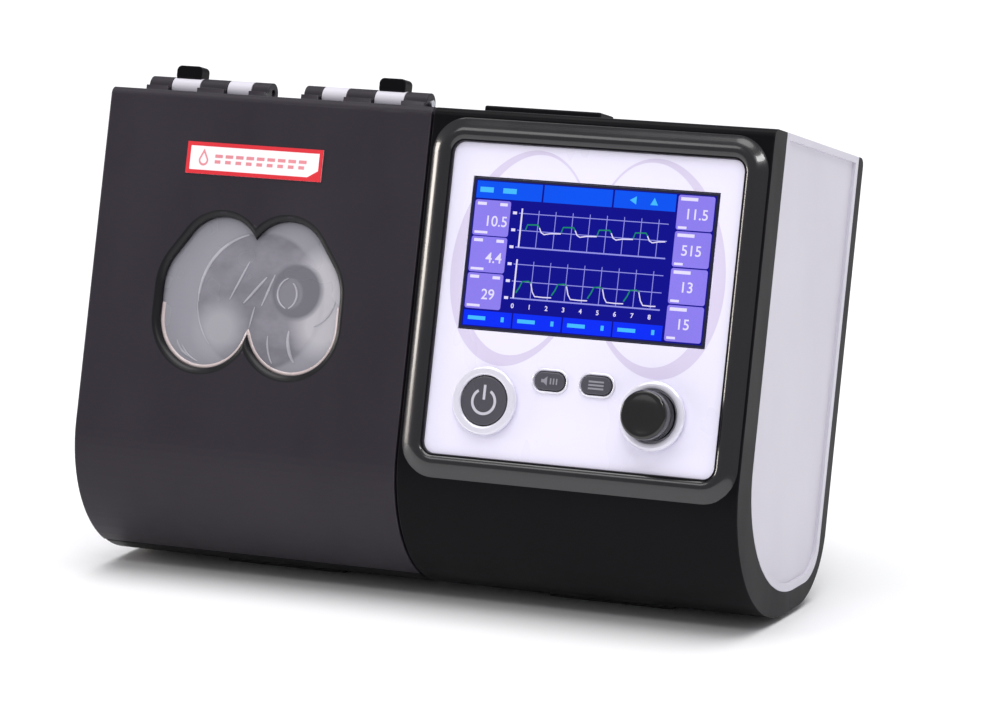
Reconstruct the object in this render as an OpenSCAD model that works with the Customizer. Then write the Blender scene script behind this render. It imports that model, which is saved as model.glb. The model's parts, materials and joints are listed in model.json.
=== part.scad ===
// Bedside breathing ventilator with a docked heated humidifier.
// Millimetres. +Z up, -Y is the front, +X is the user's right.
// Origin: on the table, at the middle of the whole machine's footprint box.
// The sub-parts are drawn in an upright body frame (front face in the plane y = 0, z measured from the
// lowest point of the front curve), and stand() leans that frame back onto the feet.

/* [Stance] */
// Angle by which the machine leans back on its base
lean = 14.5; // [11:0.5:17]
// Distance from the flat of the base down to the table
foot_drop = 2; // [1.5:0.1:4]
// Distance of the front feet behind the front end of the base's flat
foot_front = 2; // [0:0.5:5]
// Distance of the rear feet behind the back end of the base's flat
foot_back = 9; // [6:0.5:12]
// Width of the front foot of each unit
foot_w = 50; // [40:1:60]
// Width of the two rear feet of each unit
foot_back_w = 26; // [20:1:34]
// Length of each rubber foot from front to back
foot_l = 10; // [8:0.5:12]

/* [Casing] */
// Width of the ventilator and of the humidifier
unit_w = 134.5; // [128:0.5:162]
// Gap between the two units
unit_gap = 1; // [0.6:0.1:2]
// Height of the front face above the body datum
body_h = 173.5; // [170:0.5:210]
// Depth from the front face to the back face
body_d = 93; // [92:0.5:112]
// Radius of the lower front curve
front_r = 46; // [42:0.5:50]
// Radius of the lower back curve
back_r = 30; // [26:0.5:34]
// Radius of the upper edges
top_r = 3; // [1:0.5:5]
// Wall thickness of the casings
wall = 2.5; // [2:0.1:3]
// Depth of the black front casing on the sides
band_front = 12; // [10:0.5:14]
// Depth of the black back casing on the sides
band_back = 5; // [4:0.5:7]
// Height of the black band under the white side
band_base = 7.2; // [5:0.1:9]
// Front corner radius of the white side
side_front_r = 43; // [36:0.5:46]
// Rear corner radius of the white side
side_back_r = 16; // [12:0.5:20]
// Depth by which the white side is dished
dish = 1.2; // [0.6:0.1:2]
// Width of the raised rim round the white side
rim_w = 3; // [2:0.1:5]
// Thickness of the white side including its rim
side_t = 3.2; // [3:0.1:4]

/* [Front panel] */
// Side of the square fascia
fascia_size = 114.7; // [105:0.1:115]
// Corner radius of the fascia
fascia_r = 4.5; // [2:0.1:8]
// Height of the middle of the fascia
fascia_z = 104; // [103:0.5:105]
// Thickness of the fascia
fascia_t = 1.5; // [1:0.1:1.7]
// Depth of the fascia's face behind the casing's face
fascia_set = 0.3; // [0.1:0.1:0.5]
// Thickness of the casing behind the fascia
plate_t = 3.5; // [3.2:0.1:4]
// Height of the raised frame round the fascia
bead_h = 1.2; // [0.5:0.1:2]
// Width of the raised frame round the fascia
bead_w = 5.5; // [3:0.5:7]
// Width of the screen's picture
screen_w = 95; // [79:0.1:96]
// Height of the screen's picture
screen_h = 53.9; // [45:0.1:55]
// Height of the middle of the screen
screen_z = 121; // [120:0.5:123]
// Depth of the screen module
lcd_t = 4.5; // [3.5:0.1:6]

/* [Controls] */
// Height of the power button and the knob
control_z = 67.4; // [66:0.1:69]
// Distance of the power button left of the middle
power_dx = 34.4; // [30:0.1:38]
// Radius of the power button
power_r = 9; // [7:0.1:9.5]
// Distance of the knob right of the middle
knob_dx = 31.7; // [30:0.1:38]
// Radius of the knob
knob_r = 9; // [7:0.1:9.5]
// How far the knob stands out of the front face
knob_proud = 10; // [7:0.5:14]
// Outer radius of the metal rings round the power button and the knob
ring_r = 12.6; // [11.5:0.1:13]
// How far those rings stand out
ring_proud = 2; // [1:0.1:3]
// Height of the two small keys
key_z = 76.6; // [76:0.1:79]
// Distance of the mute key left of the middle
mute_dx = 9.8; // [9:0.1:12]
// Distance of the menu key right of the middle
menu_dx = 8.6; // [8:0.1:12]
// Width of a small key
key_w = 12; // [9:0.1:13]
// Height of a small key
key_h = 6.6; // [5:0.1:7]
// Radius of the knob's shaft
shaft_r = 3; // [2.5:0.1:3]

/* [Blower] */
// Height of the impeller's axis
blower_z = 98; // [96:0.5:102]
// Outer radius of the blower's housing
blower_r = 40; // [36:0.5:41]
// Length of the blower's housing along its axis
blower_l = 20; // [20:0.5:22]
// Radius of the impeller
impeller_r = 32; // [26:0.5:33]
// Number of impeller blades
blades = 11; // [7:1:15]
// Outer radius of the motor
motor_r = 16; // [15:0.5:18]
// Radius of the motor's shaft
motor_shaft_r = 1.5; // [1.2:0.1:2]
// Outer radius of the air tubes between blower and humidifier
air_r = 10; // [9:0.1:10]
// Wall of the air tubes
air_wall = 2; // [1.5:0.1:2.5]
// Width of the inlet silencer
inlet_w = 56; // [50:1:60]
// Height of the inlet silencer
inlet_h = 48; // [44:1:50]

/* [Top release] */
// Width of the release button on top
release_w = 47; // [38:1:50]
// Depth of the release button
release_l = 13; // [10:0.5:14]
// How far the release button stands up
release_proud = 4.2; // [3.5:0.1:6]
// Travel of the release button
release_travel = 3; // [2:0.1:3]
// Distance of the release button from the front face
release_y = 32; // [28:0.5:36]
// Distance of the release button left of the ventilator's middle
release_dx = 35.5; // [30:0.5:36]

/* [Humidifier] */
// Distance of the door's hinge axis from the front face
hinge_y = 17; // [16:0.5:19]
// Height of the hinge axis above the top face
hinge_rise = 2.4; // [2:0.1:3]
// Outer radius of the hinge knuckles
knuckle_r = 4; // [3.5:0.1:4.5]
// Radius of the hinge pin
pin_r = 1.5; // [1.2:0.1:2]
// Angle along the front curve where the door ends
door_end = 72; // [65:1:76]
// Height of the two-lobed window's middle
window_z = 98.5; // [92:0.5:105]
// Height of the shelf that carries the water tub
shelf_z = 28.5; // [28:0.5:32]
// Height of the water tub
tub_h = 83.5; // [60:0.5:90]
// Height of the tub's lid
lid_h = 36.5; // [35:0.5:40]
// Wall of the tub and its lid
tub_wall = 2; // [1.5:0.1:2.5]
// Radius of the heater plate
heater_r = 30; // [25:0.5:31]
// Spring travel of the heater plate
heater_travel = 1.5; // [1:0.1:2]
// Outer radius of the breathing-hose outlet
outlet_r = 11; // [11:0.1:11]
// Length of the outlet behind the back face
outlet_l = 20; // [18:0.5:26]
// Height of the outlet's axis
outlet_z = 131; // [128:0.5:134]
// Width of the door's label
label_w = 57; // [40:1:70]
// Height of the label
label_h = 12; // [8:0.5:14]
// Distance of the label's middle below the top
label_drop = 25; // [20:0.5:28]

/* [Clearances] */
// Gap between fixed pieces that drop into each other
seat_gap = 0.15; // [0.1:0.05:0.2]
// Gap round pieces that slide
slide_gap = 0.3; // [0.25:0.05:0.4]
// Radial gap of a pin or shaft in its hole
run_gap = 0.05; // [0.03:0.01:0.1]

/* [Hidden] */
$fn = 48;
lap = 0.1;
far = 60;
tuck = 0.02;
clip_past = 6;

ux0 = unit_gap / 2;
ux1 = ux0 + unit_w;
cx = (ux0 + ux1) / 2;
hcx = -cx;

// Base flat, measured square to the table in the leaning body frame
base_c = front_r * (cos(lean) - sin(lean) - 1);
ground_h = base_c - foot_drop;
function centre_z(y, rise) = (base_c + rise + y * sin(lean)) / cos(lean);
// Point of the body frame that lies at table distance s and table height h
function tilted(s, h) = [s * cos(lean) - h * sin(lean), s * sin(lean) + h * cos(lean)];
function along(y, z) = y * cos(lean) + z * sin(lean);
front_s = along(front_r, front_r);
back_s = along(body_d - back_r, centre_z(body_d - back_r, back_r));
split_s = (front_s + back_s) / 2;
side_back_y = body_d - band_back;
top_z = body_h;
outlet_end = body_d + outlet_l;
boss_l = 7;
screw_l = 6.5;
foot_inset = 14;
footprint_front = along(-knob_proud, control_z - knob_r);
footprint_back = along(outlet_end, outlet_z + outlet_r);
origin_s = (footprint_front + footprint_back) / 2;

// Front panel stack
fascia_back = fascia_set + fascia_t;
board_y = plate_t + lcd_t;
board_t = 1.6;
board_half = 55;
key_travel = 0.8;
power_travel = 1.2;
knob_travel = 0.6;
switch_y = board_y - 1;
flange_y = plate_t + slide_gap;
flange_t = 0.9;
hole_r = ring_r - 1.6;

// Blower stack, from front to back
motor_y = 13;
blower_y = 38;
blower_back = blower_y + blower_l;
blower_wall = 2.5;
air_y = blower_y + blower_l / 2;
air_z = blower_z + blower_r - blower_wall - air_r + 0.5;
air_bore = air_r - air_wall;
nozzle_x = cx - blower_r + 2;
bellows_x = ux0 + side_t + 4.3;
bellows_r = air_r + 1.6;
wall_hole_r = bellows_r + 1.2;
eye_r = 14;
lip_l = 2.5;
mount_h = 3.5;
deck_t = 2.5;
deck_z = blower_z - blower_r - mount_h - deck_t;
inlet_wall = 2;
inlet_back = body_d - wall - 6.5;
filter_gap = 0.3;
board_low_z = deck_z - 18;
inlet_socket_dx = 43;
speaker_dx = 47;
speaker_z = deck_z + 22;
speaker_r = 13.5;
flap_t = 2;
flap_y = body_d - 1.1;
flap_h = inlet_h - 9.6;
flap_w = inlet_w - 9.6;
flap_axis_z = blower_z - flap_h / 2 + flap_t / 2;

// Release button and its hook
release_x = cx - release_dx;
latch_z = top_z - 10.5;
latch_t = 4;
latch_y0 = release_y - 3;
latch_y1 = release_y + 3;
slot_z0 = latch_z - release_travel - 0.5;
slot_z1 = latch_z + latch_t + 0.5;
cage_z = top_z - 18.5;

// Humidifier
hx0 = -ux1;
hx1 = -ux0;
bay_x0 = hx0 + side_t;
bay_x1 = hx1 - side_t;
bay_wall = 2;
bay_y0 = band_front + 1.2;
bay_back = body_d - boss_l - bay_wall - 0.2;
bay_top = latch_z - 8;
tub_x0 = bay_x0 + bay_wall + 1;
tub_x1 = bay_x1 - bay_wall - 1;
tub_y0 = bay_y0 + 2;
tub_y1 = bay_back - 2;
seal_t = 1.5;
plate_thin = 1.2;
tub_top = shelf_z + tub_h;
lid_z0 = tub_top + seal_t;
lid_z1 = lid_z0 + lid_h;
tub_cy = (tub_y0 + tub_y1) / 2;
hinge_z = top_z + hinge_rise;
heater_t = 4;
tray_z = shelf_z - heater_t - heater_travel - 11;
lid_stub_x = tub_x1 + 2;
dock_y0 = 52;
dock_y1 = 62;
dock_z0 = shelf_z - 13;
dock_z1 = dock_z0 + 5;
lip_y = band_front - slide_gap;
cap_r = 2;
cap_w = 11;
cap_t = 5.6;
cap_front = 2;
cap_h = 5.8;
cap_dx = 42.9;
cap_rise = 4.5;
// Door knuckles, then fixed knuckles, as distances from the humidifier's middle
door_comb = [[7.5, 14.7], [25.3, 36.7], [49.2, 58.5]];
shell_comb = [[15, 25], [37, 48.9]];

// ---------------------------------------------------------------- helpers

module stand() {
  translate([0, -origin_s, -ground_h]) rotate([-lean, 0, 0]) children();
}

module box(x0, x1, y0, y1, z0, z1) {
  translate([x0, y0, z0]) cube([x1 - x0, y1 - y0, z1 - z0]);
}

module rod_x(y, z, r, x0, x1) {
  translate([x0, y, z]) rotate([0, 90, 0]) cylinder(r = r, h = x1 - x0);
}

module rod_y(x, z, r, y0, y1) {
  translate([x, y0, z]) rotate([-90, 0, 0]) cylinder(r = r, h = y1 - y0);
}

module rod_z(x, y, r, z0, z1) {
  translate([x, y, z0]) cylinder(r = r, h = z1 - z0);
}

module tube_y(x, z, r, bore, y0, y1) {
  difference() {
    rod_y(x, z, r, y0, y1);
    rod_y(x, z, bore, y0 - 1, y1 + 1);
  }
}

// Extrudes a side-view outline, drawn as (y, z), across x
module across(x0, x1) {
  translate([x0, 0, 0]) rotate([90, 0, 90]) linear_extrude(x1 - x0) children();
}

// Extrudes a front-view outline, drawn as (x, z), along y
module facing(y0, y1) {
  translate([0, y1, 0]) rotate([90, 0, 0]) linear_extrude(y1 - y0) children();
}

module rounded(w, h, r) {
  square([w - 2 * r, h], center = true);
  square([w, h - 2 * r], center = true);
  for (sx = [-1, 1], sz = [-1, 1])
    translate([sx * (w / 2 - r), sz * (h / 2 - r)]) circle(r);
}

module pill(w, h) {
  square([w - h, h], center = true);
  for (s = [-1, 1])
    translate([s * (w - h) / 2, 0]) circle(h / 2);
}

// Side-view outline: straight front and back, two lower curves and a base flat that is level when leaning
module outline(front, back, rise, rf, rb, top, rt) {
  yf = front + rf;
  zf = centre_z(yf, rise + rf);
  yb = back - rb;
  zb = centre_z(yb, rise + rb);
  // The flat lies a hair inside the two curves, so that they cross it cleanly
  function below(y, z, r) = [y + (r - tuck) * sin(lean), z - (r - tuck) * cos(lean)];
  polygon([
    [front, zf], [front, top - rt], [front + rt, top], [back - rt, top], [back, top - rt], [back, zb],
    below(yb, zb, rb), below(yf, zf, rf)
  ]);
  // The front curve stops behind the start of the flat, so a large radius stays clear of the back
  intersection() {
    translate([yf, zf]) circle(rf);
    translate([front - 1, zf - rf - 1]) square([rf * (1 + sin(lean)) + clip_past, rf + 1]);
  }
  translate([yb, zb]) circle(rb);
  translate([front + rt, top - rt]) circle(rt);
  translate([back - rt, top - rt]) circle(rt);
}

module body_outline(inset) {
  outline(inset, body_d - inset, inset, front_r - inset, back_r - inset, body_h - inset,
    max(top_r - inset, 0.5));
}

module side_outline(inset) {
  outline(band_front + inset, side_back_y - inset, band_base + inset, side_front_r - inset,
    side_back_r - inset, body_h + far, 1);
}

// Side-view zones that share out the black casing
module front_zone() {
  polygon([[-far, -far], [-far, top_z + far], [band_front, top_z + far], [band_front, front_r + 20],
    tilted(split_s, 50), tilted(split_s, -far)]);
}

module back_zone() {
  polygon([tilted(split_s, -far), tilted(split_s, 50), [side_back_y, front_r + 20],
    [side_back_y, top_z + far], [body_d + far, top_z + far], [body_d + far, -far]]);
}

function ray(angle) = [front_r - far * cos(angle), front_r - far * sin(angle)];

module door_zone() {
  polygon([[-far, -far], [-far, top_z - wall - 1], [band_front, top_z - wall - 1], [band_front, front_r + 20],
    [front_r, front_r], ray(door_end)]);
}

module sill_zone() {
  polygon([[front_r, front_r], tilted(split_s, 50), tilted(split_s, -far), ray(door_end + 0.6)]);
}

// Black casing between two x planes: a skin all round plus the bands at its two ends
module casing(x0, x1) {
  across(x0, x1) intersection() {
    difference() {
      body_outline(0);
      body_outline(wall);
    }
    children();
  }
  for (x = [x0, x1 - wall])
    across(x, x + wall) intersection() {
      difference() {
        body_outline(0);
        side_outline(0);
      }
      children();
    }
}

// White side: a dished plate with a raised rim; out is -1 for the rim facing -x and 1 for +x
module white_side(x0, out, gap) {
  dished = out < 0 ? x0 : x0 + side_t - dish;
  difference() {
    across(x0, x0 + side_t) intersection() {
      side_outline(gap);
      translate([0, -far]) square([body_d, top_z + far]);
    }
    across(dished - (out < 0 ? 1 : 0), dished + dish + (out < 0 ? 0 : 1)) side_outline(gap + rim_w);
  }
}

module white_top(x0, x1, y0) {
  box(x0, x1, y0, side_back_y - seat_gap, top_z - wall, top_z);
}

module side_holes(x0, x1) {
  rod_x(air_y, air_z, wall_hole_r, x0, x1);
  box(x0, x1, latch_y0 - 1, latch_y1 + 1, slot_z0, slot_z1);
  box(x0, x1, dock_y0 - seat_gap, dock_y1 + seat_gap, dock_z0 - seat_gap, dock_z1 + seat_gap);
}

// Feet are drawn level with the table and cut to the casing's curve
module feet(x_mid) {
  difference() {
    union() {
      foot(x_mid, front_s + foot_front, foot_w);
      for (dx = [-1, 1])
        foot(x_mid + dx * (unit_w / 2 - foot_back_w / 2 - foot_inset), back_s + foot_back, foot_back_w);
    }
    across(x_mid - unit_w / 2 - 1, x_mid + unit_w / 2 + 1) body_outline(0);
  }
}

module foot(x, s, w) {
  rotate([lean, 0, 0])
    translate([x - w / 2, s - foot_l / 2, ground_h]) cube([w, foot_l, foot_drop + foot_l]);
}

// Wire spring whose axis is z, swept as an eight-sided tube
module coil(r, wire, height, turns) {
  sides = 8;
  steps = 14 * turns;
  rise = height - 2 * wire;
  points = [for (i = [0:steps], j = [0:sides - 1])
    let (a = 360 * turns * i / steps, b = 360 * j / sides, q = r + wire * cos(b))
      [q * cos(a), q * sin(a), wire + rise * i / steps + wire * sin(b)]];
  skin = [for (i = [0:steps - 1], j = [0:sides - 1])
    let (k = (j + 1) % sides, n = i * sides)
      [n + j, n + sides + j, n + sides + k, n + k]];
  last = steps * sides;
  polyhedron(points, concat([[for (j = [0:sides - 1]) j]], skin, [[for (j = [sides - 1:-1:0]) last + j]]), 4);
}

// ---------------------------------------------------------------- ventilator casing

module front_shell() color("#29272b") stand() difference() {
  union() {
    casing(ux0, ux1) front_zone();
    box(ux0 + wall - lap, ux1 - wall + lap, wall - lap, plate_t, front_r, top_z - wall + lap);
    translate([cx, 0, fascia_z]) facing(-bead_h, 1) difference() {
      rounded(fascia_size + 2 * bead_w, fascia_size + 2 * bead_w, fascia_r + bead_w);
      rounded(fascia_size + 0.2, fascia_size + 0.2, fascia_r);
    }
    for (dx = [-50, 50], z = [54.5, 158.3])
      rod_y(cx + dx, z, 2.5, plate_t - lap, board_y);
  }
  translate([cx, 0, fascia_z]) facing(-far, fascia_back)
    rounded(fascia_size + 2 * seat_gap, fascia_size + 2 * seat_gap, fascia_r + seat_gap);
  box(cx - screen_w / 2 - 1, cx + screen_w / 2 + 1, 0, far / 2,
    screen_z - screen_h / 2 - 1, screen_z + screen_h / 2 + 1);
  rod_y(cx - power_dx, control_z, hole_r, 0, far / 3);
  rod_y(cx + knob_dx, control_z, shaft_r + 1, 0, far / 3);
  for (x = [cx - mute_dx, cx + menu_dx])
    translate([x, 0, key_z]) facing(0, plate_t + 1) pill(key_w + 2 * slide_gap, key_h + 2 * slide_gap);
}

module mid_shell() color("#e3e0ea") stand() difference() {
  union() {
    white_side(ux0, -1, seat_gap);
    white_side(ux1 - side_t, 1, seat_gap);
    white_top(ux0, ux1, band_front + seat_gap);
    // Cage that guides the release button and seats its spring
    for (y = [release_y - release_l / 2 - 4, release_y + release_l / 2 + 2])
      box(release_x - 10, release_x + 10, y, y + 2, cage_z, top_z - wall + lap);
    box(release_x - 10, release_x + 10, release_y - release_l / 2 - 4, release_y + release_l / 2 + 4,
      cage_z, cage_z + 2);
    // Bosses for the back cover's screws
    for (z = [44, top_z - 26]) {
      box(ux0 + side_t - lap, ux0 + 12, body_d - boss_l, body_d - wall, z - 5, z + 5);
      box(ux1 - 12, ux1 - side_t + lap, body_d - boss_l, body_d - wall, z - 5, z + 5);
    }
  }
  side_holes(ux0 - 1, ux0 + side_t + 0.5);
  box(release_x - release_w / 2 - slide_gap, release_x + release_w / 2 + slide_gap,
    release_y - release_l / 2 - slide_gap, release_y + release_l / 2 + slide_gap, top_z - wall - 1, top_z + 1);
  for (x = [ux0 + 7.5, ux1 - 7.5], z = [44, top_z - 26])
    rod_y(x, z, motor_shaft_r + run_gap, body_d - 16, body_d);
}

module back_cover() color("#29272b") stand() difference() {
  union() {
    casing(ux0, ux1) back_zone();
    difference() {
      box(cx - inlet_w / 2, cx + inlet_w / 2, inlet_back, body_d - wall + lap,
        blower_z - inlet_h / 2, blower_z + inlet_h / 2);
      box(cx - inlet_w / 2 + 3.5, cx + inlet_w / 2 - 3.5, inlet_back - 1, body_d - wall,
        blower_z - inlet_h / 2 + 3.5, blower_z + inlet_h / 2 - 3.5);
    }
  }
  box(cx - flap_w / 2 - slide_gap, cx + flap_w / 2 + slide_gap, body_d - wall - 1, body_d + 1,
    flap_axis_z - flap_t / 2 - slide_gap, blower_z + flap_h / 2 + slide_gap);
  rod_x(flap_y, flap_axis_z, 0.75 + run_gap, cx - flap_w / 2 - 2, cx + flap_w / 2 + 2);
  box(cx + inlet_socket_dx - 7.2, cx + inlet_socket_dx + 7.2, body_d - wall - 1, body_d + 1,
    board_low_z + board_t - 0.2, board_low_z + board_t + 14.2);
  for (i = [-3:3])
    box(cx + speaker_dx - 9, cx + speaker_dx + 9, body_d - wall - 1, body_d + 1,
      speaker_z + i * 3 - 0.6, speaker_z + i * 3 + 0.6);
  for (x = [ux0 + 7.5, ux1 - 7.5], z = [44, top_z - 26])
    screw_hole(x, z);
}

module screw_hole(x, z) {
  rod_y(x, z, 1.7, body_d - wall - 1, body_d + 1);
  rod_y(x, z, 3.2, body_d - 1.6, body_d + 1);
}

module case_screws() color("#8d8f93") stand()
  for (x = [ux0 + 7.5, ux1 - 7.5, hx0 + 7.5, hx1 - 7.5], z = [44, top_z - 26]) {
    rod_y(x, z, 1.5, body_d - screw_l, body_d - 1.6 + lap);
    difference() {
      rod_y(x, z, 2.9, body_d - 1.6, body_d - 0.1);
      translate([x, body_d, z]) cube([3.4, 1.6, 0.7], center = true);
      translate([x, body_d, z]) cube([0.7, 1.6, 3.4], center = true);
    }
  }

module main_feet() color("#1b1b1d") stand() feet(cx);

module hum_feet() color("#1b1b1d") stand() feet(hcx);

// ---------------------------------------------------------------- front panel

module fascia_panel() color("#ece8f8") stand() difference() {
  translate([cx, 0, fascia_z]) facing(fascia_set, fascia_back) rounded(fascia_size, fascia_size, fascia_r);
  box(cx - screen_w / 2 - 1 - seat_gap, cx + screen_w / 2 + 1 + seat_gap, 0, far / 2,
    screen_z - screen_h / 2 - 1 - seat_gap, screen_z + screen_h / 2 + 1 + seat_gap);
  rod_y(cx - power_dx, control_z, hole_r, 0, far / 3);
  rod_y(cx + knob_dx, control_z, shaft_r + 1, 0, far / 3);
  for (x = [cx - mute_dx, cx + menu_dx])
    translate([x, 0, key_z]) facing(0, plate_t + 1) pill(key_w + 2 * slide_gap, key_h + 2 * slide_gap);
}

module screen_lens() color("#10108c") stand()
  box(cx - screen_w / 2 - 1, cx + screen_w / 2 + 1, fascia_set, plate_t,
    screen_z - screen_h / 2 - 1 + seat_gap, screen_z + screen_h / 2 + 1 - seat_gap);

module lcd_module() color("#55585e") stand()
  box(cx - screen_w / 2 - 5, cx + screen_w / 2 + 5, plate_t, board_y,
    screen_z - screen_h / 2 - 6, screen_z + screen_h / 2 + 6);

module panel_board() color("#1f6b3a") stand() {
  box(cx - board_half, cx + board_half, board_y, board_y + board_t, 50, 162);
  for (p = [[-power_dx, control_z], [-mute_dx, key_z], [menu_dx, key_z]])
    box(cx + p[0] - 3, cx + p[0] + 3, switch_y, board_y + lap, p[1] - 3, p[1] + 3);
}

module power_ring() color("#dcdde2") stand() {
  tube_y(cx - power_dx, control_z, ring_r, power_r + slide_gap, -ring_proud, fascia_set);
  tube_y(cx - power_dx, control_z, hole_r - run_gap, power_r + slide_gap, fascia_set - lap, plate_t);
}

module power_button() color("#a9abb2") stand() {
  rod_y(cx - power_dx, control_z, power_r, -ring_proud + 0.4, flange_y + flange_t);
  rod_y(cx - power_dx, control_z, power_r + 1.2, flange_y, flange_y + flange_t);
  rod_y(cx - power_dx, control_z, 2.5, flange_y, switch_y - power_travel - 0.1);
}

module small_key(x) {
  translate([x, 0, key_z]) facing(-0.5, flange_y + flange_t) pill(key_w, key_h);
  translate([x, 0, key_z]) facing(flange_y, flange_y + flange_t) pill(key_w + 2, key_h + 2);
  rod_y(x, key_z, 2, flange_y, switch_y - key_travel - 0.1);
}

module mute_key() color("#5c5e66") stand() small_key(cx - mute_dx);

module menu_key() color("#5c5e66") stand() small_key(cx + menu_dx);

module knob_ring() color("#cfd1d6") stand()
  tube_y(cx + knob_dx, control_z, ring_r + 0.1, knob_r + 0.6, -ring_proud - 0.2, fascia_set);

module encoder_knob() color("#101012") stand() difference() {
  rod_y(cx + knob_dx, control_z, knob_r, -knob_proud, fascia_set - knob_travel - 0.2);
  rod_y(cx + knob_dx, control_z, shaft_r + 0.02, -knob_proud + 3, 0);
}

module encoder_shaft() color("#b9bcc2") stand() {
  rod_y(cx + knob_dx, control_z, shaft_r, -knob_proud + 3, board_y - 1.8);
  rod_y(cx + knob_dx, control_z, shaft_r + 1.2, plate_t + 1.8, plate_t + 2.4);
}

module encoder_plunger() color("#d8d2b8") stand()
  rod_y(cx + knob_dx, control_z, shaft_r + 1.2, board_y - 1.75, board_y - 0.8);

module encoder_body() color("#3d4046") stand() difference() {
  translate([cx + knob_dx, 0, control_z]) facing(plate_t + 0.2, board_y) square(12.6, center = true);
  rod_y(cx + knob_dx, control_z, shaft_r + run_gap, 0, board_y);
  rod_y(cx + knob_dx, control_z, shaft_r + 1.6, plate_t + 1.5, board_y + 1);
}

// ---------------------------------------------------------------- blower and electronics

module chassis_deck() color("#9a9da3") stand() {
  box(ux0 + side_t, ux1 - side_t, 14, body_d - wall, deck_z, deck_z + deck_t);
  for (dx = [-board_half + 5, board_half - 5], y = [30, 66])
    rod_z(cx + dx, y, 3, board_low_z + board_t, deck_z + lap);
}

module power_board() color("#1f6b3a") stand() {
  box(cx - board_half, cx + board_half, 24, 84, board_low_z, board_low_z + board_t);
  box(cx - 40, cx - 12, 34, 62, board_low_z + board_t - lap, board_low_z + 17);
  box(cx - 4, cx + 26, 40, 66, board_low_z + board_t - lap, board_low_z + 8);
  for (x = [cx + 2, cx + 14])
    rod_z(x, 75, 4.5, board_low_z + board_t - lap, board_low_z + 16);
}

module power_inlet() color("#17181a") stand() difference() {
  box(cx + inlet_socket_dx - 7, cx + inlet_socket_dx + 7, body_d - 17, body_d - 0.2,
    board_low_z + board_t, board_low_z + board_t + 14);
  tube_y(cx + inlet_socket_dx, board_low_z + board_t + 7, 3.2, 1.1, body_d - 11, body_d + 1);
}

module speaker() color("#2e3033") stand() {
  rod_y(cx + speaker_dx, speaker_z, speaker_r, body_d - wall - 2.5, body_d - wall);
  rod_y(cx + speaker_dx, speaker_z, speaker_r - 4.5, body_d - wall - 7.5, body_d - wall - 2.4);
}

module blower_base() color("#c9cbd0") stand() difference() {
  union() {
    rod_y(cx, blower_z, blower_r, blower_y, blower_back);
    rod_x(air_y, air_z, air_r, nozzle_x, cx);
    box(cx - 30, cx + 30, blower_y, blower_back, blower_z - blower_r, blower_z - blower_r + 14);
  }
  rod_y(cx, blower_z, blower_r - blower_wall, blower_y + 2, blower_back - 2);
  rod_y(cx, blower_z, blower_r - 1.5, blower_back - 2.1, blower_back + 1);
  rod_x(air_y, air_z, air_bore, nozzle_x - 1, cx);
  rod_y(cx, blower_z, motor_shaft_r + 1, blower_y - 1, blower_y + 3);
}

module blower_lid() color("#c9cbd0") stand() difference() {
  union() {
    rod_y(cx, blower_z, blower_r - 1.5 - run_gap, blower_back - 2, blower_back);
    rod_y(cx, blower_z, eye_r + 2, blower_back - lap, blower_back + lip_l);
  }
  rod_y(cx, blower_z, eye_r, blower_back - 3, blower_back + lip_l + 1);
}

module blower_mounts() color("#d77a4a") stand()
  for (x = [cx - 22, cx + 22], y = [blower_y + 5, blower_back - 5])
    rod_z(x, y, 4.3, deck_z + deck_t, blower_z - blower_r);

module impeller() color("#e6e4da") stand() difference() {
  union() {
    rod_y(cx, blower_z, impeller_r, blower_y + 5, blower_y + 6.5);
    rod_y(cx, blower_z, 5, blower_y + 4, blower_y + 14);
    for (i = [0:blades - 1])
      translate([cx, blower_y + 6.4, blower_z]) rotate([0, i * 360 / blades, 0])
        translate([9, 0, 0]) rotate([0, 28, 0]) cube([(impeller_r - 9) * 0.93, 9, 1.1]);
  }
  rod_y(cx, blower_z, motor_shaft_r + 0.01, 0, far);
}

module motor_can() color("#8b8e94") stand() difference() {
  union() {
    difference() {
      rod_y(cx, blower_z, motor_r, motor_y, blower_y);
      rod_y(cx, blower_z, motor_r - 1.5, motor_y + 2, blower_y - 2);
    }
    rod_y(cx, blower_z, 6, motor_y + 1, motor_y + 5);
    rod_y(cx, blower_z, 6, blower_y - 5, blower_y - 1);
  }
  rod_y(cx, blower_z, 4.02, motor_y + 2, motor_y + 6);
  rod_y(cx, blower_z, 4.02, blower_y - 6, blower_y - 2);
  rod_y(cx, blower_z, motor_shaft_r + 1, blower_y - 4, blower_y + 1);
}

module motor_stator() color("#a8672f") stand()
  tube_y(cx, blower_z, motor_r - 1.55, 9, motor_y + 7, blower_y - 7);

module motor_rotor() color("#4b4d52") stand()
  tube_y(cx, blower_z, 8.5, motor_shaft_r + 0.01, motor_y + 7, blower_y - 7);

module motor_shaft() color("#c4c7cc") stand()
  rod_y(cx, blower_z, motor_shaft_r, motor_y + 2.4, blower_y + 14);

module motor_bearings() color("#b3b6bb") stand() {
  tube_y(cx, blower_z, 4, motor_shaft_r + run_gap, motor_y + 2, motor_y + 5);
  tube_y(cx, blower_z, 4, motor_shaft_r + run_gap, blower_y - 5, blower_y - 2);
}

module inlet_box() color("#d6d7db") stand() difference() {
  box(cx - inlet_w / 2, cx + inlet_w / 2, blower_back, inlet_back, blower_z - inlet_h / 2, blower_z + inlet_h / 2);
  box(cx - inlet_w / 2 + inlet_wall, cx + inlet_w / 2 - inlet_wall, blower_back + inlet_wall, inlet_back + 1,
    blower_z - inlet_h / 2 + inlet_wall, blower_z + inlet_h / 2 - inlet_wall);
  rod_y(cx, blower_z, eye_r + 2 + run_gap, blower_back - 1, blower_back + inlet_wall + 1);
}

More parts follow.
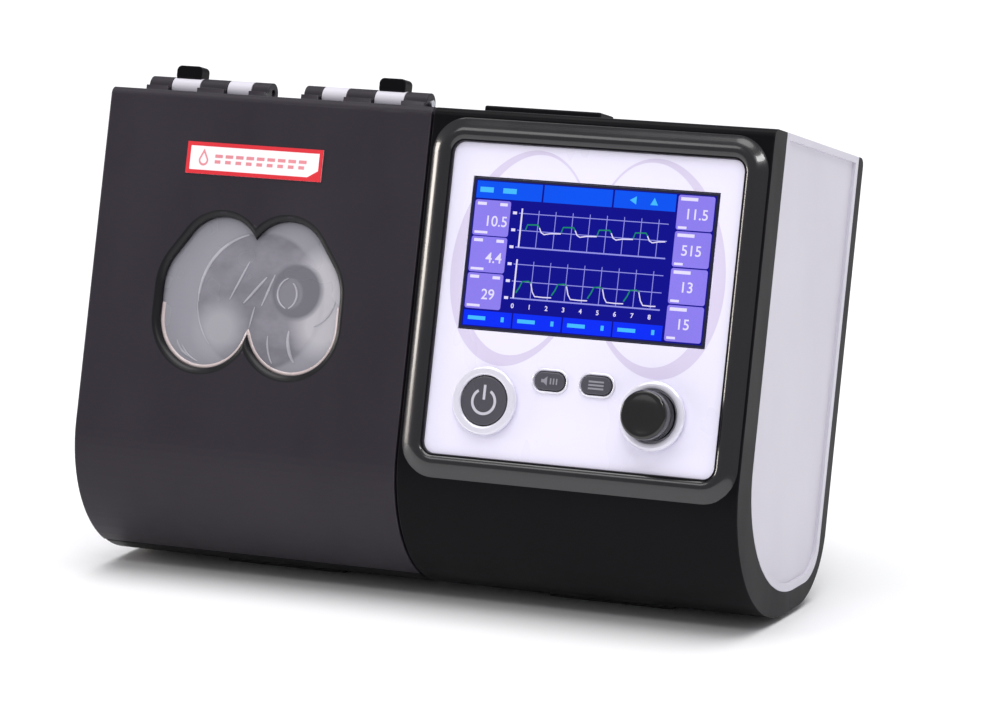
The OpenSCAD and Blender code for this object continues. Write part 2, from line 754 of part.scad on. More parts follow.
module muffler_foam() color("#5b5d61") stand() difference() {
  box(cx - inlet_w / 2 + inlet_wall, cx + inlet_w / 2 - inlet_wall, blower_back + lip_l + 0.5, inlet_back - 4,
    blower_z - inlet_h / 2 + inlet_wall, blower_z + inlet_h / 2 - inlet_wall);
  rod_y(cx, blower_z, eye_r - 3, blower_back, inlet_back);
}

module air_filter() color("#f1f0ea") stand()
  box(cx - inlet_w / 2 + 3.5 + filter_gap, cx + inlet_w / 2 - 3.5 - filter_gap, inlet_back, body_d - wall - 0.3,
    blower_z - inlet_h / 2 + 3.5 + filter_gap, blower_z + inlet_h / 2 - 3.5 - filter_gap);

module filter_flap() color("#2d2b2f") stand() difference() {
  union() {
    box(cx - flap_w / 2, cx + flap_w / 2, flap_y - flap_t / 2, flap_y + flap_t / 2,
      flap_axis_z, blower_z + flap_h / 2);
    rod_x(flap_y, flap_axis_z, flap_t / 2, cx - flap_w / 2, cx + flap_w / 2);
    rod_x(flap_y, flap_axis_z, 0.75, cx - flap_w / 2 - 1.6, cx + flap_w / 2 + 1.6);
  }
  for (i = [0:6])
    box(cx - flap_w / 2 + 6, cx + flap_w / 2 - 6, flap_y - flap_t, flap_y + flap_t,
      flap_axis_z + 6 + i * 4, flap_axis_z + 7.6 + i * 4);
}

module flow_sensor() color("#dfe3ea") stand() {
  difference() {
    rod_x(air_y, air_z, air_r, bellows_x, nozzle_x);
    rod_x(air_y, air_z, air_bore, bellows_x - 1, nozzle_x + 1);
  }
  difference() {
    box(bellows_x + 5, nozzle_x - 4, air_y - 6, air_y + 6, air_z + 4, air_z + air_r + 7);
    rod_x(air_y, air_z, air_bore + 1, bellows_x, nozzle_x);
  }
}

module outlet_bellows() color("#9fa3ab") stand() difference() {
  union() {
    rod_x(air_y, air_z, bellows_r - 0.7, lid_stub_x, bellows_x);
    for (x = [lid_stub_x + 1:3:bellows_x - 1.5])
      rod_x(air_y, air_z, bellows_r, x, x + 1.4);
  }
  rod_x(air_y, air_z, air_bore, lid_stub_x - 1, bellows_x + 1);
}

module release_button() color("#232225") stand() {
  box(release_x - release_w / 2, release_x + release_w / 2, release_y - release_l / 2, release_y + release_l / 2,
    top_z - wall - slide_gap - 1.5, top_z + release_proud);
  box(release_x - release_w / 2 - 1.5, release_x + release_w / 2 + 1.5,
    release_y - release_l / 2 - 1.4, release_y + release_l / 2 + 1.4,
    top_z - wall - slide_gap - 1.5, top_z - wall - slide_gap);
  // Arm and hook that hold the humidifier's side wall
  box(release_x - release_w / 2 - 1.5, release_x - release_w / 2 + 4, latch_y0, latch_y1,
    latch_z, top_z - wall - slide_gap - 1);
  box(bay_x1 - 0.4 - 2, release_x - release_w / 2 + 4, latch_y0, latch_y1, latch_z, latch_z + latch_t);
  box(bay_x1 - 0.4 - 2, bay_x1 - 0.4, latch_y0, latch_y1, latch_z, latch_z + latch_t + 2.4);
}

module release_spring() color("#c4c7cc") stand()
  translate([release_x, release_y, cage_z + 2])
    coil(3.6, 0.4, top_z - wall - slide_gap - 1.5 - cage_z - 2, 5);

module dock_connector() color("#2b2c30") stand()
  box(hx1 - side_t - 4, ux0 + side_t + 4, dock_y0, dock_y1, dock_z0, dock_z1);

// ---------------------------------------------------------------- humidifier

module hum_shell() color("#e3e0ea") stand() difference() {
  union() {
    white_side(hx0, -1, slide_gap);
    white_side(hx1 - side_t, 1, slide_gap);
    white_top(hx0, hx1, hinge_y + knuckle_r + 1);
    for (k = shell_comb, side = [-1, 1]) {
      span = tooth(k, side);
      rod_x(hinge_y, hinge_z, knuckle_r, span[0], span[1]);
      box(span[0], span[1], hinge_y, hinge_y + knuckle_r + 2, top_z - wall, hinge_z + 1);
    }
    for (z = [44, top_z - 26]) {
      box(hx0 + side_t - lap, hx0 + 12, body_d - boss_l, body_d - wall, z - 5, z + 5);
      box(hx1 - 12, hx1 - side_t + lap, body_d - boss_l, body_d - wall, z - 5, z + 5);
    }
  }
  side_holes(hx1 - side_t - 0.5, hx1 + 1);
  rod_x(hinge_y, hinge_z, pin_r + 0.01, hx0 - 1, hx1 + 1);
  for (x = [hx0 + 7.5, hx1 - 7.5], z = [44, top_z - 26])
    rod_y(x, z, motor_shaft_r + run_gap, body_d - 16, body_d);
}

// x limits of a comb tooth given by its two distances from the humidifier's middle
function tooth(k, side) = side < 0 ? [hcx - k[1], hcx - k[0]] : [hcx + k[0], hcx + k[1]];

module hum_bay() color("#d9d8e0") stand() difference() {
  union() {
    box(bay_x0, bay_x1, bay_y0, bay_back + bay_wall, shelf_z - 2.5, shelf_z);
    box(bay_x0, bay_x0 + bay_wall, bay_y0, bay_back + bay_wall, shelf_z - lap, bay_top);
    box(bay_x1 - bay_wall, bay_x1, bay_y0, bay_back + bay_wall, shelf_z - lap, bay_top);
    box(bay_x0, bay_x1, bay_back, bay_back + bay_wall, shelf_z - lap, bay_top);
    for (dx = [-40, 40], y = [tub_cy - 22, tub_cy + 22])
      rod_z(hcx + dx, y, 3, tray_z + 2, shelf_z - 2.4);
  }
  rod_z(hcx, tub_cy, heater_r + 1, 0, shelf_z + 1);
  rod_x(air_y, air_z, wall_hole_r, bay_x1 - bay_wall - 1, bay_x1 + 1);
  rod_y(hcx, outlet_z, outlet_r + 2.3, bay_back - 1, bay_back + bay_wall + 1);
}

module hum_base() color("#29272b") stand() casing(hx0, hx1) sill_zone();

module hum_back() color("#29272b") stand() difference() {
  casing(hx0, hx1) back_zone();
  rod_y(hcx, outlet_z, outlet_r + 1 + seat_gap, body_d - wall - 1, body_d + 1);
  for (x = [hx0 + 7.5, hx1 - 7.5], z = [44, top_z - 26])
    screw_hole(x, z);
}

// Two-lobed window, cut or filled from y0 to y1; grow widens it all round
module lungs(y0, y1, grow) {
  for (side = [0, 1])
    translate([hcx, 0, window_z]) mirror([side, 0, 0]) facing(y0, y1) {
      lobe([13.7, 12.3], 16.2 + grow, [16.5, 1], 20.6 + grow);
      lobe([16.5, 1], 20.6 + grow, [18.3, -9.6], 18.9 + grow);
    }
}

// Two circles joined by their common tangents
module lobe(p, r, q, t) {
  d = norm(q - p);
  a = atan2(q[1] - p[1], q[0] - p[0]);
  b = acos((r - t) / d);
  function on(c, k, g) = [c[0] + k * cos(g), c[1] + k * sin(g)];
  polygon([on(p, r - tuck, a + b), on(q, t - tuck, a + b), on(q, t - tuck, a - b), on(p, r - tuck, a - b)]);
  translate(p) circle(r);
  translate(q) circle(t);
}

module hum_door() color("#2e2b2f") stand() difference() {
  union() {
    casing(hx0, hx1) door_zone();
    // Top lip in front of the hinge, then the knuckles that grow out of it
    box(hx0, hx1, top_r, lip_y, top_z - wall, top_z);
    box(hx0, hx1, 0, wall, top_z - wall - 1.1, top_z - top_r);
    across(hx0, hx1) intersection() {
      difference() {
        body_outline(0);
        body_outline(wall);
      }
      translate([0, top_z - 8]) square([top_r + lap, 9]);
    }
    for (x = [hx0, hx1 - wall])
      box(x, x + wall, wall - lap, lip_y, top_z - wall - 1.1, top_z - wall + lap);
    for (k = door_comb, side = [-1, 1]) {
      span = tooth(k, side);
      rod_x(hinge_y, hinge_z, knuckle_r, span[0], span[1]);
      box(span[0], span[1], lip_y - 1, hinge_y, top_z - wall + 0.6, hinge_z);
    }
  }
  rod_x(hinge_y, hinge_z, pin_r + run_gap, hx0 - 1, hx1 + 1);
  lungs(-1, wall + 1, 0);
}

module door_window() color([0.8, 0.82, 0.86, 0.45]) stand()
  lungs(wall, wall + 1.5, 3);

module door_label() color("#e8e6e8") stand()
  translate([hcx - 3.5, 0, top_z - label_drop]) facing(-0.3, 0) square([label_w, label_h], center = true);

// One pin for each half of the hinge
module hinge_pin() color("#b7bac0") stand()
  for (s = [-1, 1])
    rod_x(hinge_y, hinge_z, pin_r, hcx + s * 34 - 25.5, hcx + s * 34 + 25.5);

module hinge_caps() color("#232225") stand() difference() {
  for (s = [-1, 1])
    translate([hcx + s * cap_dx, 0, hinge_z + knuckle_r + cap_rise - cap_h / 2])
      facing(hinge_y - cap_front, hinge_y + cap_t - cap_front) rounded(cap_w, cap_h, cap_r);
  rod_x(hinge_y, hinge_z, knuckle_r, hx0, hx1);
}

module water_tub() color([0.85, 0.88, 0.92, 0.45]) stand() difference() {
  tub_block(tub_x0, tub_x1, tub_y0, tub_y1, shelf_z, tub_top, 10);
  tub_block(tub_x0 + tub_wall, tub_x1 - tub_wall, tub_y0 + tub_wall, tub_y1 - tub_wall,
    shelf_z + tub_wall, tub_top + 1, 8);
  rod_z(hcx, tub_cy, heater_r, shelf_z - 1, shelf_z + tub_wall + 1);
}

module tub_block(x0, x1, y0, y1, z0, z1, r) {
  translate([(x0 + x1) / 2, (y0 + y1) / 2, z0]) linear_extrude(z1 - z0) rounded(x1 - x0, y1 - y0, r);
}

module tub_plate() color("#b4b7bd") stand()
  rod_z(hcx, tub_cy, heater_r - run_gap, shelf_z, shelf_z + plate_thin);

module tub_seal() color("#6d7178") stand() difference() {
  tub_block(tub_x0, tub_x1, tub_y0, tub_y1, tub_top, lid_z0, 10);
  tub_block(tub_x0 + tub_wall, tub_x1 - tub_wall, tub_y0 + tub_wall, tub_y1 - tub_wall,
    tub_top - 1, lid_z0 + 1, 8);
}

module tub_lid() color([0.85, 0.88, 0.92, 0.45]) stand() difference() {
  union() {
    tub_block(tub_x0, tub_x1, tub_y0, tub_y1, lid_z0, lid_z1, 10);
    rod_x(air_y, air_z, air_r, tub_x1 - 5, lid_stub_x);
    rod_y(hcx, outlet_z, outlet_r, tub_y1 - 5, tub_y1 + 1.5);
  }
  tub_block(tub_x0 + tub_wall, tub_x1 - tub_wall, tub_y0 + tub_wall, tub_y1 - tub_wall,
    lid_z0 - 1, lid_z1 - tub_wall, 8);
  rod_x(air_y, air_z, air_bore, tub_x1 - 9, lid_stub_x + 1);
  rod_y(hcx, outlet_z, outlet_r - 1.8, tub_y1 - 9, tub_y1 + 3);
}

module heater_plate() color("#a9acb2") stand()
  rod_z(hcx, tub_cy, heater_r, shelf_z - heater_t, shelf_z - run_gap);

module heater_springs() color("#c4c7cc") stand()
  for (a = [90, 210, 330])
    translate([hcx + 24 * cos(a), tub_cy + 24 * sin(a), tray_z + 2])
      coil(3.6, 0.4, shelf_z - heater_t - tray_z - 2, 4);

module heater_tray() color("#8e9197") stand()
  box(hcx - 46, hcx + 46, tub_cy - 26, tub_cy + 26, tray_z, tray_z + 2);

module outlet_port() color("#d6d4de") stand() difference() {
  union() {
    rod_y(hcx, outlet_z, outlet_r, tub_y1 + 4, outlet_end);
    rod_y(hcx, outlet_z, outlet_r + 1, tub_y1 + 4, body_d);
    rod_y(hcx, outlet_z, outlet_r + 3.5, body_d - wall - 2, body_d - wall);
  }
  rod_y(hcx, outlet_z, outlet_r - 1.8, tub_y1 + 3, outlet_end + 1);
}

module outlet_seal() color("#6d7178") stand()
  tube_y(hcx, outlet_z, outlet_r + 1.8, outlet_r - 1.8, tub_y1 + 1.5, tub_y1 + 4);

// ---------------------------------------------------------------- output

front_shell();
mid_shell();
back_cover();
fascia_panel();
screen_lens();
lcd_module();
panel_board();
power_ring();
power_button();
mute_key();
menu_key();
knob_ring();
encoder_knob();
encoder_shaft();
encoder_plunger();
encoder_body();
chassis_deck();
power_board();
power_inlet();
speaker();
blower_base();
blower_lid();
blower_mounts();
impeller();
motor_can();
motor_stator();
motor_rotor();
motor_shaft();
motor_bearings();
inlet_box();
muffler_foam();
air_filter();
filter_flap();
flow_sensor();
outlet_bellows();
release_button();
release_spring();
main_feet();
case_screws();
hum_shell();
hum_bay();
hum_base();
hum_back();
hum_door();
door_window();
door_label();
hinge_pin();
hinge_caps();
water_tub();
tub_plate();
tub_lid();
tub_seal();
heater_plate();
heater_springs();
heater_tray();
outlet_port();
outlet_seal();
dock_connector();
hum_feet();
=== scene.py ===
"""Bedside ventilator with a docked humidifier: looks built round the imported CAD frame.

Sizes are millimetres in the leaning body frame: x to the user's right from the gap between the two
units, y into the machine from its front face, z up along that face. STAND turns them into the
object's own frame in metres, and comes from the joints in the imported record.
"""

import json
import math

import bmesh
import bpy
from mathutils import Matrix, Vector


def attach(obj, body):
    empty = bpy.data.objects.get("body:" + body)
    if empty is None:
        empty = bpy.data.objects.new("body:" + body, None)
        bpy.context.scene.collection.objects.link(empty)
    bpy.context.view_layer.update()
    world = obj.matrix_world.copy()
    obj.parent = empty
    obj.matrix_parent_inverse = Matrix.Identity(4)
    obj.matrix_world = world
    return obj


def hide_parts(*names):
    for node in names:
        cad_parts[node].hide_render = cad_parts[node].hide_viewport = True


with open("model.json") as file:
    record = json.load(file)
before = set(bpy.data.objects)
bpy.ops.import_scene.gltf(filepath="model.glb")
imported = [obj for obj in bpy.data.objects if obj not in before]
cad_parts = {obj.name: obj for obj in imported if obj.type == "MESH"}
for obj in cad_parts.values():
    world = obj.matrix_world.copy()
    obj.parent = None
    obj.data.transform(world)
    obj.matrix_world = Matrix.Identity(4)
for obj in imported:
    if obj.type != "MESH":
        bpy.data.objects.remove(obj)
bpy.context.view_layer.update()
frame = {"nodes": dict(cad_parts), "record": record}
nodes = frame["nodes"]
joints = {j["name"]: j for j in frame["record"]["behaviour"]["joints"]}

# ---------------------------------------------------------------- driving sizes

UNIT_W = 134.5
UNIT_GAP = 1.0
UNIT_X = (UNIT_GAP + UNIT_W) / 2
TOP_Z = 173.5
FRONT_R = 46.0
HINGE = (17.0, TOP_Z + 2.4)
FASCIA = 114.7
FASCIA_R = 4.5
FASCIA_Z = 104.0
FASCIA_Y = 0.3
SCREEN_W, SCREEN_H, SCREEN_Z = 95.0, 53.9, 121.0
CONTROL_Z = 67.4
POWER_X = UNIT_X - 34.4
KNOB_X = UNIT_X + 31.7
KNOB_R, KNOB_OUT = 9.0, 10.0
CAP_Y = -1.6
KEY_Z, KEY_W, KEY_H = 76.6, 12.0, 6.6
KEY_Y = -0.5
MUTE_X, MENU_X = UNIT_X - 9.8, UNIT_X + 8.6
WINDOW_Z = 98.5
LABEL_X, LABEL_Z, LABEL_W, LABEL_H = -UNIT_X - 3.5, TOP_Z - 25.0, 57.0, 12.0


def stand_matrix():
    """Body frame in millimetres to object frame in metres, from the directions of two slides and a hinge."""
    mm = 0.001
    inward = Vector(joints["power_press"]["axis"])
    up = -Vector(joints["release_press"]["axis"])
    across = inward.cross(up)
    hinge = Vector(joints["door_hinge"]["pos_m"])
    offset = (across * -UNIT_X + inward * HINGE[0] + up * HINGE[1]) * mm
    m = Matrix((across * mm, inward * mm, up * mm)).transposed().to_4x4()
    m.translation = hinge - offset
    return m


STAND = stand_matrix()
LOCAL = STAND.inverted()

# ---------------------------------------------------------------- materials


class Shader:
    """A small helper that adds nodes to one material and links them."""

    def __init__(self, name):
        self.mat = bpy.data.materials.new(name)
        self.mat.use_nodes = True
        self.tree = self.mat.node_tree
        self.bsdf = self.tree.nodes["Principled BSDF"]
        self.coord = self.add("ShaderNodeTexCoord").outputs["Object"]

    def add(self, kind, **values):
        node = self.tree.nodes.new(kind)
        for key, value in values.items():
            if hasattr(node, key):
                setattr(node, key, value)
            else:
                node.inputs[key.replace("_", " ")].default_value = value
        return node

    def link(self, out, into):
        self.tree.links.new(out, into)
        return into

    def noise(self, scale, detail=2.0, rough=0.5, stretch=None):
        node = self.add("ShaderNodeTexNoise", Scale=scale, Detail=detail, Roughness=rough)
        source = self.coord
        if stretch:
            mapping = self.add("ShaderNodeMapping")
            mapping.inputs["Scale"].default_value = stretch
            self.link(self.coord, mapping.inputs["Vector"])
            source = mapping.outputs["Vector"]
        self.link(source, node.inputs["Vector"])
        return node.outputs["Fac"]

    def ramp(self, value, low, high, start=0.35, end=0.65):
        node = self.add("ShaderNodeMapRange")
        for key, number in (("From Min", start), ("From Max", end), ("To Min", low), ("To Max", high)):
            node.inputs[key].default_value = number
        self.link(value, node.inputs["Value"])
        return node.outputs["Result"]

    def mix(self, factor, a, b):
        node = self.add("ShaderNodeMix", data_type="RGBA")
        for key, value in ((6, a), (7, b)):
            if isinstance(value, tuple):
                node.inputs[key].default_value = value
            else:
                self.link(value, node.inputs[key])
        self.link(factor, node.inputs[0])
        return node.outputs[2]

    def bump(self, height, strength, distance):
        node = self.add("ShaderNodeBump", Strength=strength, Distance=distance)
        self.link(height, node.inputs["Height"])
        last = self.bsdf.inputs["Normal"]
        if last.is_linked:
            self.link(last.links[0].from_socket, node.inputs["Normal"])
        self.link(node.outputs["Normal"], last)

    def spot(self, x, y, z, radius, soft):
        """A mask that is 1 within a radius of a body-frame point and fades out softly; all in millimetres."""
        far = self.add("ShaderNodeVectorMath", operation="DISTANCE")
        self.link(self.coord, far.inputs[0])
        far.inputs[1].default_value = STAND @ Vector((x, y, z))
        return self.ramp(far.outputs["Value"], 1.0, 0.0, (radius - soft) / 1000, (radius + soft) / 1000)

    def worn_edges(self, width):
        """A mask that is 1 along sharp and rounded edges, broken up by a coarse noise; it marks both wear and
        a painted edge highlight.
        """
        soft = self.add("ShaderNodeBevel", samples=4, Radius=width)
        turn = self.add("ShaderNodeVectorMath", operation="DOT_PRODUCT")
        self.link(soft.outputs["Normal"], turn.inputs[0])
        self.link(self.add("ShaderNodeNewGeometry").outputs["Normal"], turn.inputs[1])
        near = self.ramp(turn.outputs["Value"], 0.9, 0.0, 0.86, 0.99)
        both = self.add("ShaderNodeMath", operation="MULTIPLY")
        self.link(near, both.inputs[0])
        self.link(self.ramp(self.noise(90.0, 3.0), 0.35, 1.0), both.inputs[1])
        return both.outputs["Value"]

    def set(self, **values):
        for key, value in values.items():
            self.bsdf.inputs[key.replace("_", " ")].default_value = value


def linear(r, g, b):
    """sRGB values from 0 to 255 as a linear colour with alpha."""
    def one(v):
        v /= 255.0
        return v / 12.92 if v <= 0.04045 else ((v + 0.055) / 1.055) ** 2.4
    return (one(r), one(g), one(b), 1.0)


def tint(colour, k):
    """A lighter or darker colour, with full alpha."""
    return tuple(min(1.0, v * k) for v in colour[:3]) + (1.0,)


def moulded(name, colour, rough, grain=2600.0, grain_depth=0.00003, edge_wear_and_highlight=None, coat=0.0, spread=0.07,
            rounded=None, **more):
    """Moulded plastic or rubber: cloudy colour, fine grain, handling marks and softly worn edges, painted
    lighter both as wear and as a painted edge highlight.
    """
    s = Shader(name)
    if rounded:
        s.link(s.add("ShaderNodeBevel", samples=6, Radius=rounded).outputs["Normal"], s.bsdf.inputs["Normal"])
    cloud = s.noise(14.0, 4.0)
    base = s.mix(s.ramp(cloud, 0.0, 1.0), tint(colour, 1.0 - spread), tint(colour, 1.0 + spread))
    # Edges painted lighter: partly wear, partly a painted highlight along the edges
    if edge_wear_and_highlight:
        base = s.mix(s.worn_edges(0.0009), base, edge_wear_and_highlight)
    s.link(base, s.bsdf.inputs["Base Color"])
    smear = s.noise(38.0, 3.0, 0.6, (1.0, 1.0, 0.35))
    s.link(s.ramp(smear, rough * 0.86, rough * 1.16), s.bsdf.inputs["Roughness"])
    s.bump(s.noise(grain, 2.0, 0.6), 0.35, grain_depth)
    s.bump(s.noise(22.0, 1.0), 0.04, 0.0006)
    s.set(Coat_Weight=coat, Coat_Roughness=0.06, **more)
    return s.mat


def metal(name, colour, rough, brush=(1.0, 1.0, 1.0), depth=0.00001):
    """Metal with fine tooling lines and uneven polish."""
    s = Shader(name)
    lines = s.noise(900.0, 3.0, 0.6, brush)
    s.link(s.mix(s.ramp(lines, 0.0, 1.0), tint(colour, 0.92), tint(colour, 1.04)),
           s.bsdf.inputs["Base Color"])
    s.link(s.ramp(s.noise(60.0, 2.0), rough * 0.8, rough * 1.25), s.bsdf.inputs["Roughness"])
    s.bump(lines, 0.25, depth)
    s.set(Metallic=1.0)
    return s.mat


def glowing(name, colour, depth=0.10):
    """A lit area of the display: its colour on a fine pixel grid under the glass."""
    s = Shader(name)
    dots = s.add("ShaderNodeTexVoronoi", Scale=4200.0)
    s.link(s.coord, dots.inputs["Vector"])
    cell = s.ramp(dots.outputs["Distance"], 0.0, 1.0, 0.1, 0.7)
    shade = s.mix(s.ramp(s.noise(30.0), 0.0, 1.0), tint(colour, 1.0 - depth), colour)
    lit = s.mix(cell, shade, tint(colour, 1.0 - depth))
    s.link(lit, s.bsdf.inputs["Emission Color"])
    s.set(Emission_Strength=1.0, Roughness=0.2, Specular_IOR_Level=0.18, Coat_Weight=0.0)
    s.bsdf.inputs["Base Color"].default_value = tint(colour, 0.06)
    return s.mat


def clear(name, colour, rough, transmission, spread=0.1, ripple=0.18):
    """Clear or frosted plastic with flow marks and fine scratches."""
    s = Shader(name)
    flow = s.noise(70.0, 3.0, 0.6, (1.0, 0.4, 1.6))
    s.link(s.mix(s.ramp(flow, 0.0, 1.0), tint(colour, 1.0 - spread), tint(colour, 1.0 + spread)),
           s.bsdf.inputs["Base Color"])
    s.link(s.ramp(s.noise(45.0, 2.0), rough * 0.7, rough * 1.4), s.bsdf.inputs["Roughness"])
    s.bump(s.noise(120.0, 3.0), ripple, 0.0003)
    s.set(Transmission_Weight=transmission, IOR=1.49, Coat_Weight=0.5, Coat_Roughness=0.05)
    return s.mat


# The casings' lighter edge colours stand for wear and for painted edge highlights
BLACK = moulded("black_casing_mat", linear(9, 8, 11), 0.36, edge_wear_and_highlight=linear(44, 40, 45),
                Specular_IOR_Level=0.08)
CHARCOAL = moulded("door_mat", linear(41, 36, 44), 0.44, edge_wear_and_highlight=linear(70, 66, 72), Specular_IOR_Level=0.22,
                   rounded=0.0008)
FRAME = moulded("fascia_frame_mat", linear(17, 15, 19), 0.20, grain=1400.0, grain_depth=0.00001, coat=0.5)
# Painted shade: the door's rolled window edge is painted darker to stand for its shadow
DOOR_EDGE_SHADE = moulded("door_edge_shade_mat", linear(13, 12, 16), 0.34, Specular_IOR_Level=0.3, rounded=0.0008)
WHITE = moulded("white_casing_mat", linear(203, 200, 210), 0.42, grain=1800.0, spread=0.02, coat=0.04)
INNER_WHITE = moulded("inner_white_mat", linear(214, 212, 219), 0.45, spread=0.03)
INNER = moulded("inner_plastic_mat", linear(198, 199, 201), 0.5, spread=0.04)
FASCIA_MAT = moulded("fascia_mat", linear(232, 228, 246), 0.30, grain=900.0, grain_depth=0.00001,
                     spread=0.012, coat=0.2)
PRINT = moulded("fascia_print_mat", linear(212, 203, 229), 0.30, grain=900.0, grain_depth=0.00001,
                spread=0.03, coat=0.2)
GLASS_BACK = moulded("screen_border_mat", linear(10, 10, 46), 0.12, grain=400.0, grain_depth=0.000004,
                     coat=0.2)
SATIN = moulded("satin_ring_mat", linear(226, 224, 236), 0.22, grain=900.0, grain_depth=0.00001, spread=0.02,
                coat=0.6, Metallic=0.25)
BUTTON = moulded("button_mat", linear(70, 68, 76), 0.30, coat=0.15)
KEY = moulded("key_mat", linear(70, 68, 77), 0.36, coat=0.1)
KNOB = moulded("knob_mat", linear(8, 8, 9), 0.16, grain=1200.0, grain_depth=0.000008, coat=0.4)
ICON = moulded("icon_mat", linear(190, 188, 198), 0.4, spread=0.03)
KEY_MARK = moulded("key_mark_mat", linear(140, 138, 147), 0.4, spread=0.03)
STEEL = metal("steel_mat", linear(190, 192, 197), 0.32, (1.0, 14.0, 1.0))
ALUMINIUM = metal("aluminium_mat", linear(200, 202, 206), 0.34, (12.0, 1.0, 1.0))
DARK_METAL = metal("dark_metal_mat", linear(92, 93, 97), 0.42)
COPPER = metal("copper_mat", linear(184, 108, 62), 0.36, (1.0, 40.0, 1.0), 0.00005)
SILICONE = moulded("silicone_mat", linear(150, 153, 160), 0.55, spread=0.04)
FOAM = moulded("foam_mat", linear(78, 79, 82), 0.95, grain=700.0, grain_depth=0.0006)
FILTER = moulded("filter_mat", linear(236, 235, 228), 0.9, grain=1500.0, grain_depth=0.0002, spread=0.03)
RUBBER = moulded("rubber_mat", linear(30, 30, 32), 0.75, grain=1800.0)
BOARD = moulded("board_mat", linear(34, 98, 54), 0.35, coat=0.3)
FROSTED = clear("chamber_mat", linear(226, 230, 236), 0.07, 0.9, 0.02, 0.03)
STICKER = moulded("sticker_mat", linear(244, 240, 243), 0.32, grain=800.0, grain_depth=0.000006, spread=0.015)
RED = moulded("red_print_mat", linear(214, 40, 52), 0.34, grain=800.0, grain_depth=0.000006, spread=0.04)
FADED = moulded("faded_print_mat", linear(222, 140, 148), 0.36, grain=800.0, grain_depth=0.000006,
                spread=0.06)

SLOT_MATERIAL = {
    "black_casing": BLACK, "door_charcoal": CHARCOAL, "white_casing": WHITE, "inner_white": INNER_WHITE,
    "inner_plastic": INNER, "fascia": FASCIA_MAT, "screen": GLASS_BACK, "dark_metal": DARK_METAL,
    "circuit_board": BOARD, "chrome_ring": SATIN, "button_grey": BUTTON, "key_grey": KEY, "knob_black": KNOB,
    "steel": STEEL, "aluminium": ALUMINIUM, "copper": COPPER, "silicone": SILICONE, "foam": FOAM,
    "filter_white": FILTER, "rubber_black": RUBBER, "clear_plastic": FROSTED, "label": STICKER,
}

# ---------------------------------------------------------------- carried-over CAD nodes

# Edge radius in metres of each node that shows; the rest keep the frame's sharp edges
EDGES = {
    "front_shell": 0.0016, "mid_shell": 0.0007, "hum_shell": 0.0007, "back_cover": 0.0010,
    "hum_back": 0.0010, "hum_base": 0.0008, "power_ring": 0.0013, "power_button": 0.0007,
    "knob_ring": 0.0012, "mute_key": 0.0006, "menu_key": 0.0006, "release_button": 0.0010,
    "hinge_caps": 0.0009, "fascia_panel": 0.00035, "main_feet": 0.0006, "hum_feet": 0.0006,
    "filter_flap": 0.0004, "outlet_port": 0.0005, "screen_lens": 0.0002, "door_label": 0.00005,
    "case_screws": 0.0002,
}


def even_shading(obj):
    """Shades large faces flat, with the smoothing kept to their edges."""
    smooth = obj.modifiers.new("shading", "WEIGHTED_NORMAL")
    smooth.keep_sharp = True


def dress(obj, width):
    """Welds the frame's split vertices, rounds its sharp edges and shades it smoothly."""
    weld = obj.modifiers.new("weld", "WELD")
    weld.merge_threshold = 0.000005
    flat = obj.modifiers.new("flatten", "DECIMATE")
    flat.decimate_type = "DISSOLVE"
    flat.angle_limit = math.radians(0.6)
    bevel = obj.modifiers.new("edges", "BEVEL")
    bevel.width = width
    bevel.segments = 3
    bevel.limit_method = "ANGLE"
    bevel.angle_limit = math.radians(32)
    bevel.use_clamp_overlap = True
    bevel.miter_outer = "MITER_ARC"
    even_shading(obj)


slot_of = {s["node"]: s["material_slot"] for s in frame["record"]["subparts"]}
for name, obj in nodes.items():
    for i in range(len(obj.material_slots)):
        obj.material_slots[i].material = SLOT_MATERIAL[slot_of[name]]
    if name in EDGES:
        dress(obj, EDGES[name])

# ---------------------------------------------------------------- mesh helpers


def shade(mesh, angle):
    """Smooth shading that stays sharp over steeper edges."""
    mesh.shade_smooth()
    mesh.set_sharp_from_angle(angle=math.radians(angle))


def to_object(name, bm):
    """A scene object with a bmesh's faces; the bmesh is used up."""
    mesh = bpy.data.meshes.new(name)
    bm.to_mesh(mesh)
    bm.free()
    obj = bpy.data.objects.new(name, mesh)
    bpy.context.scene.collection.objects.link(obj)
    return obj


def piece(name, bm, material, body, stands_for=(), angle=35.0):
    """Turns body-frame millimetres into a named piece that rides on a body."""
    bm.transform(STAND)
    bmesh.ops.recalc_face_normals(bm, faces=bm.faces)
    obj = to_object(name, bm)
    obj.data.materials.append(material)
    shade(obj.data, angle)
    if stands_for:
        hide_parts(*stands_for)
    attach(obj, body)
    return obj


def rounded_loop(cx, cz, w, h, r, steps):
    """Points and outward normals round a rounded rectangle, anticlockwise from the right side's foot."""
    loop = []
    for k, (sx, sz) in enumerate(((1, -1), (1, 1), (-1, 1), (-1, -1))):
        start = -90 + 90 * k
        for i in range(steps + 1):
            a = math.radians(start + 90 * i / steps)
            n = (math.cos(a), math.sin(a))
            loop.append(((cx + sx * (w / 2 - r) + r * n[0], cz + sz * (h / 2 - r) + r * n[1]), n))
    return loop


def arc_loop(cx, cz, r, start, end, steps):
    """Points and outward normals along an arc between two angles in degrees."""
    angles = [math.radians(start + (end - start) * i / steps) for i in range(steps + 1)]
    return [((cx + r * math.cos(a), cz + r * math.sin(a)), (math.cos(a), math.sin(a))) for a in angles]


